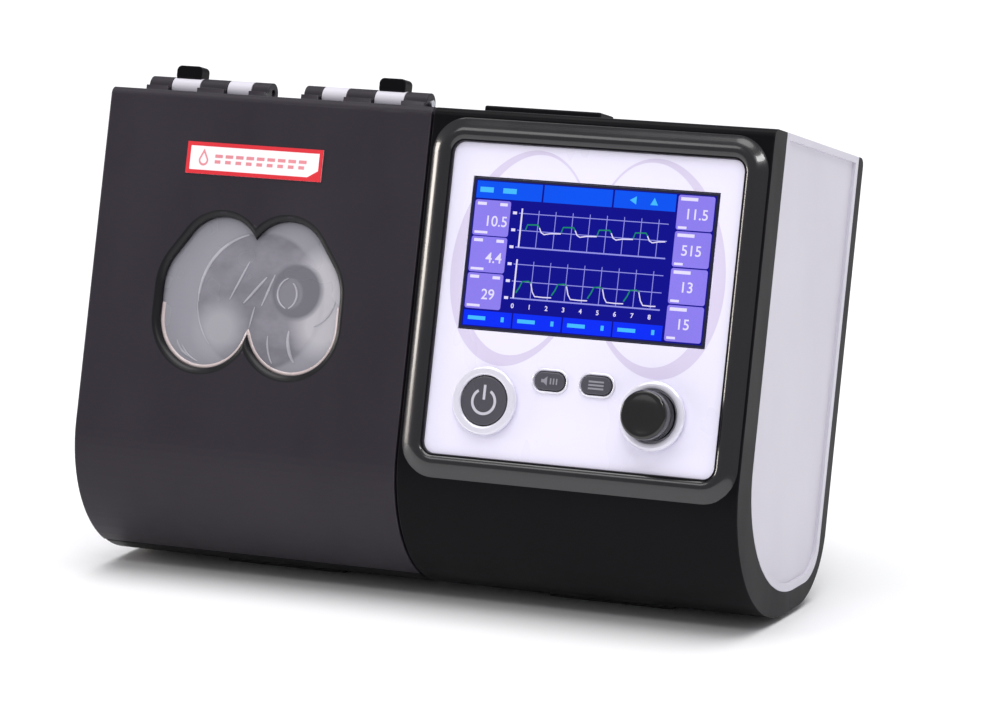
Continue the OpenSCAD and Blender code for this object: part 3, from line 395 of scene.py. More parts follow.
def sweep(bm, loop, profile, closed=True, depth=None):
    """Sweeps a closed profile of (outward distance, y) along a loop drawn in the front view."""
    rings = []
    for (x, z), (nx, nz) in loop:
        ring = []
        for out, y in profile:
            px, pz = x + nx * out, z + nz * out
            ring.append(bm.verts.new((px, y + (depth(pz, out) if depth else 0.0), pz)))
        rings.append(ring)
    last = len(rings) if closed else len(rings) - 1
    size = len(profile)
    for i in range(last):
        a, b = rings[i], rings[(i + 1) % len(rings)]
        for j in range(size):
            k = (j + 1) % size
            bm.faces.new((a[j], a[k], b[k], b[j]))
    if not closed:
        bm.faces.new(rings[0][::-1])
        bm.faces.new(rings[-1])


def plate(bm, outline, y0, y1):
    """A flat plate from y0 (front) to y1 over a front-view outline."""
    front = [bm.verts.new((x, y0, z)) for x, z in outline]
    back = [bm.verts.new((x, y1, z)) for x, z in outline]
    bm.faces.new(front)
    bm.faces.new(back[::-1])
    for i in range(len(outline)):
        k = (i + 1) % len(outline)
        bm.faces.new((front[i], back[i], back[k], front[k]))


def bar(bm, x0, x1, z0, z1, y0, y1):
    """A flat rectangular plate from y0 (front) to y1."""
    plate(bm, [(x0, z0), (x1, z0), (x1, z1), (x0, z1)], y0, y1)


def stroke(bm, points, width, y0, y1):
    """A line of even width through front-view points, with square ends."""
    left, right = [], []
    for i, p in enumerate(points):
        a = points[max(i - 1, 0)]
        b = points[min(i + 1, len(points) - 1)]
        d = Vector((b[0] - a[0], b[1] - a[1])).normalized()
        left.append((p[0] - d.y * width / 2, p[1] + d.x * width / 2))
        right.append((p[0] + d.y * width / 2, p[1] - d.x * width / 2))
    for i in range(len(points) - 1):
        plate(bm, [right[i], right[i + 1], left[i + 1], left[i]], y0, y1)


def lathe(bm, x, z, profile, steps=64):
    """Turns a profile of (radius, y) about an axis along y; the first and last radii are 0."""
    rings = []
    for r, y in profile:
        if r == 0.0:
            rings.append([bm.verts.new((x, y, z))])
        else:
            angles = [2 * math.pi * i / steps for i in range(steps)]
            rings.append([bm.verts.new((x + r * math.cos(a), y, z + r * math.sin(a))) for a in angles])
    for a, b in zip(rings, rings[1:]):
        for i in range(steps):
            k = (i + 1) % steps
            quad = [a[i % len(a)], a[k % len(a)], b[k % len(b)], b[i % len(b)]]
            bm.faces.new(list(dict.fromkeys(quad)))


# ---------------------------------------------------------------- front frame round the fascia


def curve_depth(z, out):
    """How far the casing's lower front curve has fallen back at height z, for the frame's outer side."""
    fall = FRONT_R - math.sqrt(FRONT_R**2 - (FRONT_R - z) ** 2) if z < FRONT_R else 0.0
    return fall * min(max(out, 0.0) / 8.0, 1.0)


def fascia_frame():
    """The glossy bead round the fascia, which follows the lower front curve at its outer side."""
    bm = bmesh.new()
    profile = [
        (0.06, 1.2), (0.06, 0.1), (0.12, -0.35), (0.45, -0.85), (1.1, -1.40), (2.0, -1.80), (3.0, -1.95),
        (4.1, -1.86), (5.2, -1.55), (6.3, -1.08), (7.3, -0.60), (8.1, -0.25), (8.8, 0.0), (9.4, 0.12),
        (9.4, 1.6),
    ]
    loop = rounded_loop(UNIT_X, FASCIA_Z, FASCIA, FASCIA, FASCIA_R, 14)
    sweep(bm, loop, profile, depth=curve_depth)
    piece("fascia_frame", bm, FRAME, "machine", angle=60.0)


fascia_frame()


def fascia_rings():
    """Two mirrored rings printed round the display, each thick outside and below and thin inside."""
    bm = bmesh.new()
    y, ink = FASCIA_Y - 0.02, 0.03
    steps, bands = 900, 16
    border = 1.05
    hide_w, hide_h = SCREEN_W / 2 + border, SCREEN_H / 2 + border

    def oval(side, cx, cz, w, h, shift):
        """A leaning oval; shift is how far its top moves sideways towards the middle."""
        spread = math.sqrt(w * w - shift * shift)
        turns = [2 * math.pi * i / steps for i in range(steps)]
        return [(UNIT_X + side * (cx - shift * math.sin(a) + spread * math.cos(a)),
                 SCREEN_Z + cz + h * math.sin(a)) for a in turns]

    for side in (-1, 1):
        outer = oval(side, 27.0, -0.8, 27.0, 39.6, 3.6)
        inner = oval(side, 25.0, 0.5, 24.0, 36.8, 3.0)
        rows = [[(a[0] + (b[0] - a[0]) * k / bands, a[1] + (b[1] - a[1]) * k / bands)
                 for a, b in zip(outer, inner)] for k in range(bands + 1)]
        grid = [[bm.verts.new((x, y, z)) for x, z in row] for row in rows]
        for k in range(bands):
            for i in range(steps):
                j = (i + 1) % steps
                corners = (rows[k][i], rows[k][j], rows[k + 1][j], rows[k + 1][i])
                if not any(abs(x - UNIT_X) < hide_w and abs(z - SCREEN_Z) < hide_h for x, z in corners):
                    bm.faces.new((grid[k][i], grid[k][j], grid[k + 1][j], grid[k + 1][i]))
    bmesh.ops.delete(bm, geom=[v for v in bm.verts if not v.link_faces], context="VERTS")
    made = bmesh.ops.extrude_face_region(bm, geom=bm.faces[:])["geom"]
    for v in (g for g in made if isinstance(g, bmesh.types.BMVert)):
        v.co.y += ink
    piece("fascia_rings", bm, PRINT, "machine")


fascia_rings()

# ---------------------------------------------------------------- display

SCREEN_Y = FASCIA_Y - 0.03
LAYER = 0.012
NAVY = glowing("display_navy", linear(4, 4, 142))
HEADER = glowing("display_header", linear(0, 84, 246))
FOOTER = glowing("display_footer", linear(0, 44, 250))
TILE = glowing("display_tile", linear(146, 130, 246), 0.16)
PALE = glowing("display_pale", linear(232, 226, 255))
GRID = glowing("display_grid", linear(150, 150, 236))
GREEN = glowing("display_green", linear(24, 140, 96))
CYAN = glowing("display_cyan", linear(70, 190, 255))


def on_screen(u, v):
    """Picture position, right and down from its upper left corner, in body-frame x and z."""
    return (UNIT_X - SCREEN_W / 2 + u, SCREEN_Z + SCREEN_H / 2 - v)


def field(bm, u0, u1, v0, v1, level):
    """A rectangle of the picture; a higher level lies nearer the front."""
    x0, z1 = on_screen(u0, v0)
    x1, z0 = on_screen(u1, v1)
    y = SCREEN_Y - LAYER * level
    bar(bm, x0, x1, z0, z1, y, y + LAYER)


def soft_tile(bm, u0, u1, v0, v1):
    """A rectangle of the picture with rounded corners."""
    x0, z1 = on_screen(u0, v0)
    x1, z0 = on_screen(u1, v1)
    loop = rounded_loop((x0 + x1) / 2, (z0 + z1) / 2, x1 - x0, z1 - z0, 0.9, 4)
    y = SCREEN_Y - LAYER
    plate(bm, [p for p, _ in loop], y, y + LAYER)


def trace(bm, points, width, level):
    """A curve of the picture through the points given."""
    y = SCREEN_Y - LAYER * level
    stroke(bm, [on_screen(u, v) for u, v in points], width, y, y + LAYER)


def numeral(bm, text, u, v, size):
    """Adds a number in the program's own plain typeface, as a flat mesh on the picture."""
    curve = bpy.data.curves.new("number", "FONT")
    curve.body = text
    curve.size = size
    curve.align_x = "CENTER"
    curve.align_y = "CENTER"
    curve.extrude = 0.004
    curve.offset = 0.05
    holder = bpy.data.objects.new("number", curve)
    bpy.context.scene.collection.objects.link(holder)
    bpy.context.view_layer.update()
    mesh = bpy.data.meshes.new_from_object(holder)
    x, z = on_screen(u, v)
    mesh.transform(Matrix.Translation((x, SCREEN_Y - 0.05, z)) @ Matrix.Rotation(math.radians(90), 4, "X"))
    bm.from_mesh(mesh)
    bpy.data.objects.remove(holder)
    bpy.data.curves.remove(curve)
    bpy.data.meshes.remove(mesh)


# Where things stand in the picture: the tiles' tops and bottoms, the graphs' tops, and the even steps
TILE_L = [(7.4, 20.4), (20.8, 33.8), (34.2, 47.2)]
TILE_R = [(0.5, 13.1), (13.6, 26.4), (26.9, 39.7), (40.2, 53.2)]
GRAPHS = (11.4, 30.0)
ROW_STEP, ROWS = 6.2, 3
SECONDS = [19.6 + 6.75 * k for k in range(9)]
BREATH = 14.2
BREATHS = [21.6 + BREATH * k for k in range(4)]
FOOTER_W = 19.8
FOOTERS = [FOOTER_W * k for k in range(4)]


def display_grounds():
    """The dark background, the bars above and below, and the tiles at both sides."""
    bm = bmesh.new()
    rim = 0.15
    field(bm, rim, SCREEN_W - rim, rim, SCREEN_H - rim, 0)
    piece("display_back", bm, NAVY, "machine")
    bm = bmesh.new()
    for u0, u1 in ((0.6, 26.8), (27.5, 54.6), (55.3, 79.4)):
        field(bm, u0, u1, 0.5, 6.8, 1)
    piece("display_header_fields", bm, HEADER, "machine")
    bm = bmesh.new()
    for u in FOOTERS:
        field(bm, u + 0.6, u + FOOTER_W, 47.9, 53.4, 1)
    piece("display_footer_fields", bm, FOOTER, "machine")
    bm = bmesh.new()
    for v0, v1 in TILE_L:
        soft_tile(bm, 0.6, 14.9, v0, v1)
    for v0, v1 in TILE_R:
        soft_tile(bm, 80.2, 94.4, v0, v1)
    piece("display_tiles", bm, TILE, "machine")


def display_graphs():
    """The grid of both graphs, with a bold base line, and the breathing-in part of their curves."""
    bm = bmesh.new()
    for v0 in GRAPHS:
        for u in SECONDS:
            field(bm, u - 0.14, u + 0.14, v0 - 1.4, v0 + 12.4, 1)
        for k in range(ROWS):
            v = v0 + ROW_STEP * k
            w = 0.26 if k == ROWS - 1 else 0.15
            field(bm, 18.4, 77.4, v - w, v + w, 1)
    piece("display_grid_lines", bm, GRID, "machine")
    bm = bmesh.new()
    for u in BREATHS:
        trace(bm, [(u, 17.6), (u + 0.7, 15.4), (u + 4.8, 15.2), (u + 5.5, 16.2)], 0.5, 2)
        trace(bm, [(u - 1.2, 40.4), (u, 38.4), (u + 0.9, 36.2), (u + 3.4, 35.9), (u + 4.4, 36.6)], 0.5, 2)
    piece("display_inhale_traces", bm, GREEN, "machine")


def pale_curves(bm):
    """The breathing-out part of the curves, the upright axes and their marks."""
    for u in BREATHS:
        end = min(u + BREATH, 76.8)
        trace(bm, [(u + 5.5, 16.2), (u + 6.4, 17.9), (u + 7.6, 18.5), (u + 10.0, 18.0), (end, 17.8)], 0.42, 2)
        trace(bm, [(u + 4.4, 36.6), (u + 5.3, 39.6), (u + 6.4, 41.2), (u + 9.6, 41.3), (end - 1.2, 41.2)],
              0.42, 2)
    for v0 in GRAPHS:
        field(bm, 19.3, 19.9, v0 - 1.8, v0 + 12.4, 2)
        for k in range(ROWS):
            v = v0 + ROW_STEP * k
            field(bm, 16.0, 17.6, v - 0.5, v + 0.5, 2)


def caption_bars(bm):
    """Plain bars where the tiles' captions and units would be."""
    for v0, _ in TILE_L:
        field(bm, 1.6, 5.2, v0 + 0.8, v0 + 1.9, 2)
        field(bm, 10.6, 13.6, v0 + 0.8, v0 + 1.9, 2)
        field(bm, 1.4, 6.6, v0 + 11.4, v0 + 12.3, 2)
    for v0, _ in TILE_R:
        field(bm, 81.2, 87.8, v0 + 0.8, v0 + 2.0, 2)
        field(bm, 81.0, 84.4, v0 + 11.3, v0 + 12.2, 2)


def display_values():
    """Everything pale in the picture: curves, caption bars, the tiles' numbers and the time scale."""
    bm = bmesh.new()
    pale_curves(bm)
    caption_bars(bm)
    for text, u, v in (("10.5", 9.6, 15.2), ("4.4", 10.2, 28.6), ("29", 9.4, 42.0),
                       ("11.5", 87.8, 7.5), ("515", 87.2, 20.6), ("13", 86.8, 33.8), ("15", 86.8, 47.1)):
        numeral(bm, text, u, v, 5.4)
    for k, u in enumerate(SECONDS):
        numeral(bm, str(k), u, 45.3, 2.4)
    piece("display_values", bm, PALE, "machine")


def display_marks():
    """Bars and two arrowheads on the upper and lower bars."""
    bm = bmesh.new()
    for u in (2.0, 11.2):
        field(bm, u, u + 5.4, 2.7, 4.6, 2)
    for u in FOOTERS:
        field(bm, u + 2.4, u + 9.4, 49.9, 51.3, 2)
        field(bm, u + 15.6, u + 16.8, 49.7, 51.5, 2)
    y0, y1 = SCREEN_Y - 0.03, SCREEN_Y - 0.01
    x, z = on_screen(63.0, 3.7)
    plate(bm, [(x - 1.6, z), (x + 1.0, z - 1.5), (x + 1.0, z + 1.5)], y0, y1)
    x, z = on_screen(71.0, 3.7)
    plate(bm, [(x - 1.5, z - 1.3), (x + 1.5, z - 1.3), (x, z + 1.4)], y0, y1)
    piece("display_marks", bm, CYAN, "machine")


display_grounds()
display_graphs()
display_values()
display_marks()

# ---------------------------------------------------------------- controls


def power_icon():
    """The plain on-off sign: a ring open at the top, with a bar standing in the opening."""
    bm = bmesh.new()
    y0, y1 = CAP_Y - 0.08, CAP_Y + 0.05
    half, opening = 0.5, 32.0
    loop = arc_loop(POWER_X, CONTROL_Z - 0.3, 4.5, 90.0 + opening, 450.0 - opening, 40)
    sweep(bm, loop, [(-half, y0), (half, y0), (half, y1), (-half, y1)], closed=False)
    bar(bm, POWER_X - half, POWER_X + half, CONTROL_Z + 0.4, CONTROL_Z + 5.8, y0, y1)
    piece("power_icon", bm, ICON, "power_cap")


power_icon()


def key_rims():
    """Raised light rims round the two keys."""
    bm = bmesh.new()
    profile = [(0.45, 0.4), (0.45, -0.1), (0.6, -0.32), (0.85, -0.4), (1.1, -0.3), (1.3, 0.0), (1.35, 0.4)]
    for x in (MUTE_X, MENU_X):
        sweep(bm, rounded_loop(x, KEY_Z, KEY_W, KEY_H, KEY_H / 2 - 0.01, 14), profile)
    piece("key_rims", bm, SATIN, "machine", angle=60.0)


def key_marks():
    """A loudspeaker with three bars on one key and three lines on the other."""
    y0, y1 = KEY_Y - 0.06, KEY_Y + 0.05
    bm = bmesh.new()
    x, z = MUTE_X, KEY_Z
    plate(bm, [(x - 3.2, z - 0.6), (x - 2.2, z - 0.6), (x - 0.9, z - 1.7),
               (x - 0.9, z + 1.7), (x - 2.2, z + 0.6), (x - 3.2, z + 0.6)], y0, y1)
    for k in range(3):
        left = x + 0.2 + 1.2 * k
        bar(bm, left, left + 0.55, z - 1.1, z + 1.1, y0, y1)
    piece("mute_mark", bm, KEY_MARK, "mute_cap")
    bm = bmesh.new()
    for k in (-1, 0, 1):
        middle = z + 1.25 * k
        bar(bm, MENU_X - 3.0, MENU_X + 3.0, middle - 0.33, middle + 0.33, y0, y1)
    piece("menu_mark", bm, KEY_MARK, "menu_cap")


key_rims()
key_marks()


def knob():
    """Glossy knob with a dished face and a rolled rim."""
    bm = bmesh.new()
    out, r, bore = -KNOB_OUT, KNOB_R, 3.1
    face = [(0.0, out + 0.75), (2.5, out + 0.70), (5.0, out + 0.50), (6.6, out + 0.18), (r - 1.6, out + 0.02),
            (r - 1.1, out), (r - 0.6, out + 0.14), (r - 0.2, out + 0.5), (r, out + 1.1)]
    groove = [(r, -2.4), (r - 0.25, -2.0), (r - 0.25, -1.5), (r, -1.2), (r, -0.55)]
    back = [(bore, -0.5), (bore, out + 3.0), (0.0, out + 3.0)]
    lathe(bm, KNOB_X, CONTROL_Z, face + groove + back)
    piece("turning_knob", bm, KNOB, "knob", ("encoder_knob",), angle=50.0)


knob()

# ---------------------------------------------------------------- door: window edge, pane and sticker

# The right lobe's three circles, as centres from the window's middle and radii
LOBE = [((13.7, 12.3), 16.2), ((16.5, 1.0), 20.6), ((18.3, -9.6), 18.9)]


def tangent_gap(x, z, a, b, grow):
    """Signed distance to two circles joined by their common tangents."""
    (ax, az), ra = a
    (bx, bz), rb = b
    d = math.hypot(bx - ax, bz - az)
    ux, uz = (bx - ax) / d, (bz - az) / d
    along = (x - ax) * ux + (z - az) * uz
    aside = abs((x - ax) * uz - (z - az) * ux)
    lean = (rb - ra) / math.sqrt(d * d - (rb - ra) ** 2)
    t = max(0.0, min(1.0, (along + aside * lean) / d))
    return math.hypot(x - ax - t * d * ux, z - az - t * d * uz) - (ra + (rb - ra) * t) - grow


def lobe_gap(x, z, grow):
    """Signed distance from the right lobe's outline, grown outwards by grow."""
    return min(tangent_gap(x, z, LOBE[0], LOBE[1], grow), tangent_gap(x, z, LOBE[1], LOBE[2], grow))


def first_zero(f, lo, hi):
    """Where f turns from negative to positive between lo and hi."""
    for _ in range(40):
        mid = (lo + hi) / 2
        if f(mid) < 0:
            lo = mid
        else:
            hi = mid
    return lo


def half_lobe(grow, steps=90):
    """The right lobe's outline from the lower notch round to the upper one, from the window's middle."""
    mx, mz = LOBE[1][0]
    low = -first_zero(lambda z: lobe_gap(0.0, -z, grow), 0.0, 40.0)
    high = first_zero(lambda z: lobe_gap(0.0, z, grow), 0.0, 40.0)
    start, end = math.atan2(low - mz, -mx), math.atan2(high - mz, -mx)
    points = [(0.0, low)]
    for i in range(1, steps):
        a = start + (end - start) * i / steps
        r = first_zero(lambda q: lobe_gap(mx + q * math.cos(a), mz + q * math.sin(a), grow), 0.0, 60.0)
        points.append((mx + r * math.cos(a), mz + r * math.sin(a)))
    return points + [(0.0, high)]


def lobe_outline(grow):
    """The two-lobed window's outline, anticlockwise."""
    right = half_lobe(grow)
    left = [(-x, z) for x, z in right[-2:0:-1]]
    return [(-UNIT_X + x, WINDOW_Z + z) for x, z in right + left]


def with_normals(points):
    """Pairs each point of a closed anticlockwise outline with its outward normal."""
    loop = []
    for i, p in enumerate(points):
        a, b = points[i - 1], points[(i + 1) % len(points)]
        d = Vector((b[0] - a[0], b[1] - a[1])).normalized()
        loop.append((p, (d.y, -d.x)))
    return loop


ROLL_DEPTH, ROLL_WIDTH = 2.3, 2.6


def window_cutter():
    """A flared plug whose side is the quarter round that the window's front edge is cut back to."""
    bm = bmesh.new()
    steps, proud, least = 6, 1.0, 0.03
    sections = [(-proud, ROLL_WIDTH)]
    for i in range(steps + 1):
        y = ROLL_DEPTH * (1 - math.cos(math.radians(90 * i / steps)))
        left = max(0.0, ROLL_DEPTH - y)
        grow = ROLL_WIDTH * (1 - math.sqrt(max(0.0, 1 - (left / ROLL_DEPTH) ** 2)))
        sections.append((y, max(grow, least)))
    rings = [[bm.verts.new((x, y, z)) for x, z in lobe_outline(grow)] for y, grow in sections]
    count = len(rings[0])
    for a, b in zip(rings, rings[1:]):
        for i in range(count):
            j = (i + 1) % count
            bm.faces.new((a[i], b[i], b[j], a[j]))
    bm.faces.new(rings[0])
    bm.faces.new(rings[-1][::-1])
    bm.transform(STAND)
    bmesh.ops.recalc_face_normals(bm, faces=bm.faces)
    return to_object("cutter", bm)


def cut_copy(source, cutter):
    """A mesh of the source object with the cutter taken away; the cutter is removed."""
    bm = bmesh.new()
    bm.from_mesh(source.data)
    bm.transform(source.matrix_world)
    bmesh.ops.remove_doubles(bm, verts=bm.verts, dist=0.000005)
    copy = to_object("copy", bm)
    cut = copy.modifiers.new("cut", "BOOLEAN")
    cut.operation = "DIFFERENCE"
    cut.solver = "EXACT"
    cut.object = cutter
    bpy.context.view_layer.update()
    result = bpy.data.meshes.new_from_object(copy.evaluated_get(bpy.context.evaluated_depsgraph_get()))
    for old in (copy, cutter):
        bpy.data.objects.remove(old)
    return result


def door_panel():
    """The CAD door with the front edge of its window rounded over and painted darker there as shade."""
    result = cut_copy(nodes["hum_door"], window_cutter())
    bm = bmesh.new()
    bm.from_mesh(result)
    bpy.data.meshes.remove(result)
    bm.transform(LOCAL)
    for face in bm.faces:
        middle = face.calc_center_median()
        gap = lobe_gap(abs(middle.x + UNIT_X), middle.z - WINDOW_Z, 0.0)
        rolled = -0.5 < middle.y < 3.0 and -1.0 < gap < ROLL_WIDTH + 0.1 and abs(face.normal.y) < 0.995
        # The rolled faces take the darker second material, which is painted shade
        face.material_index = int(rolled)
    door = piece("door_panel", bm, CHARCOAL, "door", ("hum_door",))
    door.data.materials.append(DOOR_EDGE_SHADE)
    even_shading(door)


door_panel()


# Round shapes moulded in the pane, as x and z from the window's middle and a radius
CUP = (3.5, -2.0, 26.0)
BOSS = (18.5, 3.0, 10.5)
BORE = (15.5, 2.0, 5.6)
PANE_Y = 3.5
PANE_GROW = 1.4


def pane_material():
    """Frosted pane: a paler outer band, a darker round boss and three lighter patches that are painted
    highlights, all softly blended.
    """
    s = Shader("window_pane_mat")

    def spot(shape, soft):
        x, z, radius = shape
        return s.spot(-UNIT_X + x, 3.2, WINDOW_Z + z, radius, soft)

    flow = s.noise(70.0, 3.0, 0.6, (1.0, 0.4, 1.6))
    base = s.mix(s.ramp(flow, 0.0, 1.0), linear(121, 119, 128), linear(140, 138, 147))
    base = s.mix(spot(CUP, 0.7), linear(150, 149, 158), base)
    # Painted highlights: two bright patches on the right lobe and a paler one low on the left
    base = s.mix(spot((31.5, 7.0, 11.5), 4.0), base, linear(192, 189, 196))
    base = s.mix(spot((30.0, -9.0, 10.0), 4.0), base, linear(188, 185, 192))
    base = s.mix(spot((-12.0, -13.0, 9.0), 4.0), base, linear(164, 163, 170))
    base = s.mix(spot(BOSS, 1.0), base, linear(112, 111, 120))
    base = s.mix(spot(BORE, 0.6), base, linear(130, 128, 137))
    s.link(base, s.bsdf.inputs["Base Color"])
    s.link(s.ramp(s.noise(45.0, 2.0), 0.16, 0.30), s.bsdf.inputs["Roughness"])
    s.bump(s.noise(150.0, 3.0), 0.12, 0.0002)
    s.set(Transmission_Weight=0.12, IOR=1.49, Coat_Weight=0.4, Coat_Roughness=0.08)
    return s.mat


PANE = pane_material()
# Painted highlights: the ribs are paler than the pane to stand for the light they catch
RIB_HIGHLIGHT = clear("window_rib_highlight_mat", linear(182, 180, 189), 0.25, 0.2)
# Painted highlight: the rim's pale pink stands for the light along the window's lower edge
RIM_HIGHLIGHT = clear("window_rim_highlight_mat", linear(206, 190, 190), 0.25, 0.1)


def tube_along(bm, points, radius, squash=0.6, sides=8):
    """A slim moulded rib along front-view points (x, z) at a depth y, pointed at both ends."""
    rings = []
    for i, (x, y, z) in enumerate(points):
        a, b = points[max(i - 1, 0)], points[min(i + 1, len(points) - 1)]
        d = Vector((b[0] - a[0], b[2] - a[2])).normalized()
        r = radius * math.sin(math.pi * (0.06 + 0.88 * i / (len(points) - 1))) ** 0.5
        ring = []
        for k in range(sides):
            t = 2 * math.pi * k / sides
            ring.append(bm.verts.new((x - d.y * r * math.cos(t), y + r * squash * math.sin(t),
                                      z + d.x * r * math.cos(t))))
        rings.append(ring)
    for a, b in zip(rings, rings[1:]):
        for k in range(sides):
            bm.faces.new((a[k], a[(k + 1) % sides], b[(k + 1) % sides], b[k]))
    bm.faces.new(rings[0][::-1])
    bm.faces.new(rings[-1])


def pane_y(u, w):
    """Depth of the pane's face: nearer the front towards its middle and over the boss and the inner cup."""
    crown, fall = 0.55, 2.5
    y = PANE_Y - crown * (1 - math.exp(min(lobe_gap(abs(u), w, PANE_GROW), 0.0) / fall))
    for (px, pz, r), lift, soft in ((CUP, 0.30, 0.25), (BOSS, 0.35, 0.25), (BORE, -0.3, 0.2)):
        y -= lift / (1 + math.exp((math.hypot(u - px, w - pz) - r) / soft))
    return y


def window_lens():
    """The moulded chamber front in the door: a softly crowned pane with a boss and an inner cup."""
    bm = bmesh.new()
    cx, cz = -UNIT_X, WINDOW_Z
    rings, middle = 40, 30
    right = half_lobe(PANE_GROW)
    low, high = right[0][1], right[-1][1]
    right += [(0.0, high + (low - high) * i / middle) for i in range(1, middle)]
    count = len(right)
    mx, mz = LOBE[1][0]
    for side in (1, -1):
        hub = bm.verts.new((cx + side * mx, 0.0, cz + mz))
        grid = []
        for k in range(1, rings + 1):
            t = k / rings
            grid.append([bm.verts.new((cx + side * (mx + (x - mx) * t), 0.0, cz + mz + (z - mz) * t))
                         for x, z in right])
        for i in range(count):
            j = (i + 1) % count
            bm.faces.new((hub, grid[0][i], grid[0][j]))
            for a, b in zip(grid, grid[1:]):
                bm.faces.new((a[i], b[i], b[j], a[j]))
    bmesh.ops.remove_doubles(bm, verts=bm.verts, dist=0.0005)
    for v in bm.verts:
        v.co.y = pane_y(v.co.x - cx, v.co.z - cz)
    made = bmesh.ops.extrude_edge_only(bm, edges=[e for e in bm.edges if e.is_boundary])["geom"]
    for v in (g for g in made if isinstance(g, bmesh.types.BMVert)):
        v.co.y = PANE_Y + 0.5
    bmesh.ops.contextual_create(bm, geom=[e for e in bm.edges if e.is_boundary])
    piece("window_lens", bm, PANE, "door", ("door_window",), angle=70.0)


def on_pane(points):
    """Points a little proud of the pane's face, from points measured from the window's middle."""
    return [(-UNIT_X + u, pane_y(u, w) - 0.05, WINDOW_Z + w) for u, w in points]


def window_ribs():
    """Slim moulded ribs on the pane: arcs round the cup, boss and lower corners, and a few straight ones,
    paler than the pane as painted highlights.
    """
    bm = bmesh.new()
    for (px, pz), r, start, end, thick in (
            (CUP[:2], 25.7, 106, 184, 0.62), (CUP[:2], 26.0, 184, 222, 0.30),
            ((16.8, 2.0), 6.0, 110, 250, 0.40), ((13.0, 1.5), 5.8, -60, 50, 0.46),
            ((32.5, -14.0), 15.5, 172, 218, 0.75), ((26.5, -15.0), 18.0, 178, 212, 0.42),
            ((-20.5, -15.5), 9.6, 200, 258, 0.46), ((-17.0, -15.0), 11.5, 208, 254, 0.40),
            ((21.0, 3.0), 14.0, 296, 350, 0.38)):
        tube_along(bm, on_pane([p for p, _ in arc_loop(px, pz, r, start, end, 24)]), thick)
    for (x0, z0), (x1, z1), thick in (
            ((-3.0, -3.0), (5.6, 7.4), 0.55), ((4.6, -3.4), (9.0, 8.6), 0.48),
            ((-9.0, -2.0), (-2.2, 12.8), 0.42), ((0.2, -12.0), (1.8, -4.0), 0.38)):
        steps = 10
        line = [(x0 + (x1 - x0) * i / steps, z0 + (z1 - z0) * i / steps) for i in range(steps + 1)]
        tube_along(bm, on_pane(line), thick)
    piece("window_ribs", bm, RIB_HIGHLIGHT, "door")


def window_rim():
    """A rolled clear rim where the lower part of the pane meets the door, coloured pale pink as a painted
    highlight along the lower edge.
    """
    bm = bmesh.new()
    loop = with_normals(lobe_outline(-0.5))
    turn = next(i for i, (p, _) in enumerate(loop) if p[1] > WINDOW_Z - 1.0)
    back = next(i for i in range(len(loop) - 1, 0, -1) if loop[i][0][1] > WINDOW_Z - 6.0)
    angles = [math.radians(45 * k) for k in range(8)]
    profile = [(0.8 * math.cos(a), 3.1 + 0.5 * math.sin(a)) for a in angles]
    sweep(bm, loop[back:] + loop[:turn], profile, closed=False)
    piece("window_rim", bm, RIM_HIGHLIGHT, "door", angle=60.0)


window_lens()
window_ribs()
window_rim()


LABEL_FACE = (-0.35, -0.28)
LABEL_X0, LABEL_X1 = LABEL_X - LABEL_W / 2, LABEL_X + LABEL_W / 2


def sticker_border():
    """A red border round the white sticker, wider across its lower right corner."""
    bm = bmesh.new()
    x0, x1 = LABEL_X0, LABEL_X1
    z0, z1 = LABEL_Z - LABEL_H / 2, LABEL_Z + LABEL_H / 2
    rim, notch = 1.5, 4.2
    outer = [(x0, z0), (x1, z0), (x1, z1), (x0, z1)]
    inner = [(x0 + rim, z0 + rim), (x1 - rim - notch, z0 + rim), (x1 - rim, z0 + rim + notch * 0.6),
             (x1 - rim, z1 - rim), (x0 + rim, z1 - rim)]
    for strip in ((outer[0], outer[1], inner[1], inner[0]), (outer[1], inner[2], inner[1]),
                  (outer[1], outer[2], inner[3], inner[2]), (outer[2], outer[3], inner[4], inner[3]),
                  (outer[3], outer[0], inner[0], inner[4])):
        plate(bm, strip, *LABEL_FACE)
    piece("sticker_border", bm, RED, "door")


def sticker_marks():
    """An outlined drop and two rows of faded bars where the words would be."""
    bm = bmesh.new()
    cx, steps, r = LABEL_X0 + 7.2, 20, 2.0
    angles = [math.radians(150 + 240 * i / steps) for i in range(steps + 1)]
    drop = [(cx + r * math.cos(a), LABEL_Z - 0.9 + r * math.sin(a)) for a in angles]
    drop.append((cx, LABEL_Z + 3.6))
    inner = [(cx + 0.66 * (x - cx), LABEL_Z - 0.7 + 0.62 * (z - LABEL_Z + 0.7)) for x, z in drop]
    for i in range(len(drop)):
        j = (i + 1) % len(drop)
        plate(bm, [drop[i], drop[j], inner[j], inner[i]], *LABEL_FACE)
    for k in range(9):
        x = LABEL_X0 + 12.0 + 4.4 * k
        bar(bm, x, x + 3.2, LABEL_Z + 0.35, LABEL_Z + 1.6, *LABEL_FACE)
        bar(bm, x, x + 2.4, LABEL_Z - 1.8, LABEL_Z - 0.55, *LABEL_FACE)
    piece("sticker_marks", bm, FADED, "door")


sticker_border()
sticker_marks()

# ---------------------------------------------------------------- stage, lights and camera

AIM = (0.0, 0.0, 0.09)
PLAIN, WARM = (1.0, 1.0, 1.0), (1.0, 0.93, 0.86)
